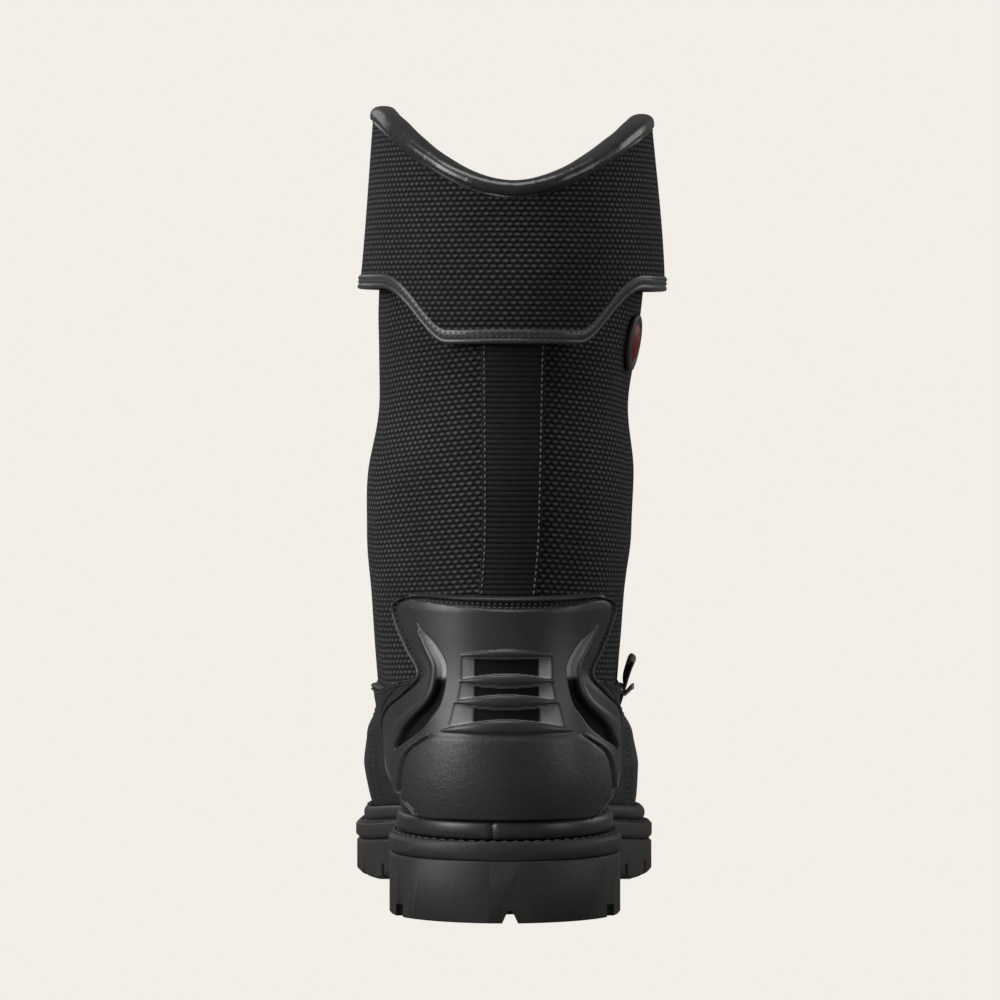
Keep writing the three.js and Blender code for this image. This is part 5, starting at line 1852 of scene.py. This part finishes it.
# ------------------------------------------------------------------ badge and side tag
@dataclass
class Trims:
    """The oval side badge with its plain red inlay, and the small folded side tag."""

    badge_angle: float = math.radians(70)
    badge_height: float = 228.0
    badge_half: tuple[float, float] = (10.0, 11.5)
    tag_angle: float = math.radians(74)
    tag_half: float = 6.5
    tag_radius: float = 52.0  # the boot's own, where the tag is sewn on
    tag_path: tuple[tuple[float, float], ...] = (
        (2.7, 46.0), (3.0, 50.0), (3.5, 54.0), (4.3, 58.0), (5.3, 61.6), (6.1, 64.0), (6.2, 65.2),
        (5.3, 65.5), (4.5, 64.0), (3.6, 61.0), (3.0, 58.6), (2.9, 56.6), (3.2, 55.0))

    def build(self) -> None:
        """Builds the badge and the tag."""
        Piece("badge_rim_moulded", self.badge_rim(), BADGE_RIM, "moulded_rubber",
              ("side_badge",)).make()
        Piece("badge_inlay_red", self.badge_inlay(), BADGE_RED, "badge_red",
              ("badge_insert",)).make()
        path = np.array(self.tag_path)
        Piece("side_tag_folded", self.ribbon(path, 0.8, self.tag_half), TAG_CLOTH, "label_cloth",
              ("side_label",)).make()
        Piece("side_tag_edge", self.ribbon(path[4:9], 1.25, self.tag_half + 0.2), TAG_GOLD,
              "label_cloth").make()
        white = np.array([(3.8, 51.4), (4.9, 52.6), (6.2, 54.2), (7.0, 54.6)])
        Piece("side_tag_end", self.ribbon(white, 1.5, 3.2), TAG_WHITE, "label_cloth").make()

    def _drape(self, across: Array, upward: Array, depth: Array) -> Array:
        """Places offsets from the badge's middle on the form."""
        speed = FORM.speed(self.badge_angle, self.badge_height)
        return FORM.skin(self.badge_angle + across / speed, self.badge_height + upward, depth)

    def badge_rim(self) -> Shell:
        """The rim: a rounded band whose section is carried round an oval."""
        turn = np.linspace(0, TURN, 97)[:-1][:, None]
        t = np.linspace(0, TURN, 21)[:-1][None, :]
        share = 0.83 + 0.17 * np.sign(np.cos(t)) * np.abs(np.cos(t)) ** 0.7
        depth = 1.35 + 1.15 * np.sign(np.sin(t)) * np.abs(np.sin(t)) ** 0.8
        across = self.badge_half[0] * share * np.cos(turn)
        upward = self.badge_half[1] * share * np.sin(turn)
        return Shell.tube(self._drape(across, upward, depth + 0 * turn), wrap=True)

    def badge_inlay(self) -> Shell:
        """The inlay: a square grid pulled out to an oval, domed, with a plain raised ring in it."""
        line = np.linspace(-1, 1, 61)
        x, y = np.meshgrid(line, line)
        across, upward = x * np.sqrt(1 - y * y / 2), y * np.sqrt(1 - x * x / 2)
        ring_at = np.minimum(np.hypot(across, upward), 1.0)
        dome = 1.1 + 2.3 * np.sqrt(np.maximum(1 - 0.92 * ring_at ** 2, 0))
        dome = dome + 0.25 * hump(ring_at, 0.62, 0.08) - 0.2 * hump(ring_at, 0.4, 0.06)
        place = (0.7 * self.badge_half[0] * across, 0.7 * self.badge_half[1] * upward)
        return Shell.between(self._drape(*place, dome), self._drape(*place, 0.5 + 0 * dome))

    def ribbon(self, path: Array, thick: float, half: float) -> Shell:
        """A strip of cloth that follows a path of depths and rises, and runs across the boot.

        Args:
            path: Depth and rise of the strip's middle, from its sewn end.
            thick: Its thickness.
            half: Half its width.

        Returns:
            The strip, a little wavy across.
        """
        walked = np.linspace(0, len(path) - 1, 10 * len(path))
        middle = np.stack([through(range(len(path)), list(path[:, k]), walked) for k in (0, 1)], -1)
        ahead = unit(np.gradient(middle, axis=0))
        side = np.stack([-ahead[:, 1], ahead[:, 0]], -1) * thick / 2
        across = np.linspace(-1, 1, 15)[None, :]
        taper = np.sqrt(np.clip(1.05 - np.abs(across) ** 6, 0.1, 1))
        wave = 0.25 * np.sin(3 * across + 0.3 * walked[:, None])

        def face(sign: float) -> Array:
            """The strip's middle moved half its thickness to one side."""
            depth = middle[:, :1] + sign * side[:, :1] * taper + wave
            rise = middle[:, 1:] + sign * side[:, 1:] * taper
            angle = self.tag_angle + across * half / self.tag_radius + 0 * depth
            return FORM.skin(angle, up(rise), depth)

        return Shell.between(face(-1.0), face(1.0))


# ------------------------------------------------------------------ what stays hidden
@dataclass
class Inside:
    """CAD nodes whose shape is right as it is. They only get a finish."""

    finishes: tuple[tuple[str, tuple[str, ...]], ...] = (
        ("steel", ("heel_nail_1", "heel_nail_2", "heel_nail_3", "heel_nail_4", "heel_nail_5",
                   "steel_shank", "puncture_plate", "steel_toe_cap")),
        ("cork", ("cork_filler",)),
        ("board", ("insole_board", "heel_stiffener")),
        ("foam", ("ankle_foam_medial", "ankle_foam_lateral", "shin_pad")),
    )

    def dress(self) -> None:
        """Gives each node the finish of what it is made of."""
        for finish, nodes in self.finishes:
            for node in nodes:
                data = bpy.data.objects[node].data
                data.materials.clear()
                data.materials.append(INSIDE[finish].material())


# ------------------------------------------------------------------ stage
@dataclass
class Studio:
    """A pale sweep, soft lights and the camera squarely behind the boot."""

    floor_colour: Colour = (0.896, 0.855, 0.807)
    camera_place: tuple[float, float, float] = (-0.00196, -2.1625, 0.2237)
    camera_tilt: float = 1.646  # degrees below level
    lens: float = 184.1
    ambient: float = 0.11
    aim: tuple[float, float, float] = (0.0, -0.05, 0.15)  # what the panels face
    # name, place, size and power of each light panel
    panels: tuple[tuple[str, tuple[float, float, float], float, float], ...] = (
        ("key", (-1.9, -0.95, 0.95), 1.2, 30.0), ("fill", (1.8, -0.8, 0.6), 0.9, 4.5),
        ("top", (-0.2, -0.5, 1.9), 1.0, 11.0), ("front right", (2.1, 1.1, 1.0), 1.4, 8.0),
        ("front left", (-1.3, 2.0, 1.3), 1.4, 4.0))

    def build(self) -> None:
        """Sets up everything that isn't the boot."""
        self.camera()
        self.sweep()
        self.lights()
        bpy.context.scene.view_settings.view_transform = "Standard"

    def camera(self) -> None:
        """The camera, level across and tilted slightly down."""
        data = bpy.data.cameras.new("camera")
        data.lens, data.sensor_width, data.clip_end = self.lens, 36.0, 50.0
        item = bpy.data.objects.new("camera", data)
        item.location = self.camera_place
        item.rotation_euler = (math.radians(90 - self.camera_tilt), 0, 0)
        bpy.context.scene.collection.objects.link(item)
        bpy.context.scene.camera = item

    def sweep(self) -> None:
        """A pale floor that curves up into a dome with no edge in view.

        It glows evenly, and only the camera sees that glow, so the boot's light stays soft and
        its dark rubber keeps its contrast.
        """
        turn = np.linspace(0, TURN, 97)[:-1]
        ground, crown = -0.0002, 5.4
        profile = ((0.4, ground), (3.0, ground), (4.0, 0.3), (4.6, 1.2), (4.6, 3.0), (2.5, 5.0))
        rings = [np.stack([r * np.cos(turn), r * np.sin(turn), 0 * turn + z], -1)
                 for r, z in profile]
        count = len(turn)
        points = np.concatenate([*rings, [[0, 0, ground], [0, 0, crown]]])
        quads, _ = Shell.quads(len(profile), count, True)
        step, end = np.arange(count), count * len(profile)
        ahead, top = (step + 1) % count, end - count
        low_fan = np.stack([0 * step + end, step, ahead], -1)
        top_fan = np.stack([top + step, 0 * step + end + 1, top + ahead], -1)
        mesh = bpy.data.meshes.new("floor")
        mesh.from_pydata(points.tolist(), [],
                         [*quads[:, ::-1].tolist(), *low_fan.tolist(), *top_fan.tolist()])
        mesh.shade_smooth()
        floor = bpy.data.objects.new("floor", mesh)
        bpy.context.scene.collection.objects.link(floor)
        board = Board("floor paint")
        mottle = board.noise(220.0, 2.0)
        pale = tuple(c * 0.996 for c in self.floor_colour)
        glow = board.colour(pale, self.floor_colour, mottle)
        board.tree.links.new(glow.socket, board.shader.inputs["Emission Color"])
        board.done(board.colour((0.0, 0.0, 0.0), (0.002, 0.002, 0.002), mottle),
                   mottle * 0.05 + 0.9, board.bump(mottle, 0.1), Emission_Strength=1.0,
                   Specular_IOR_Level=0.0)
        floor.data.materials.append(board.material)
        floor.visible_diffuse = floor.visible_glossy = floor.visible_shadow = False
        floor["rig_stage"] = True

    def lights(self) -> None:
        """Dim surroundings and soft panels: a left key, a right fill, a top and a low front one."""
        world = bpy.data.worlds.new("surroundings")
        world.use_nodes = True
        back = world.node_tree.nodes["Background"]
        back.inputs[0].default_value = (*self.floor_colour, 1.0)
        back.inputs[1].default_value = self.ambient
        bpy.context.scene.world = world
        for name, place, size, power in self.panels:
            data = bpy.data.lights.new(name, "AREA")
            data.size, data.energy = size, power
            item = bpy.data.objects.new(name, data)
            item.location = place
            towards = np.array(self.aim) - np.array(place)
            yaw = math.atan2(towards[1], towards[0])
            pitch = math.atan2(math.hypot(towards[0], towards[1]), -towards[2])
            item.rotation_euler = (pitch, 0, yaw - math.pi / 2)
            bpy.context.scene.collection.objects.link(item)


def corners(box: Sequence[Sequence[float]]) -> list[list[float]]:
    """A box as plain lists of numbers."""
    return [[float(value) for value in corner] for corner in box]


def main() -> None:
    """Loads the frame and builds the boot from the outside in."""
    logging.basicConfig(level=logging.INFO, format="%(name)s: %(message)s")
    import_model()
    cad_box = corners(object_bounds())
    Studio().build()
    counter = HeelCounter()
    Shaft().build()
    Collar().build()
    counter.build()
    Foot(counter).build()
    Bottom().build()
    Trims().build()
    Inside().dress()
    {"cad": cad_box, "visual": corners(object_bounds())}


if __name__ == "__main__":
    main()
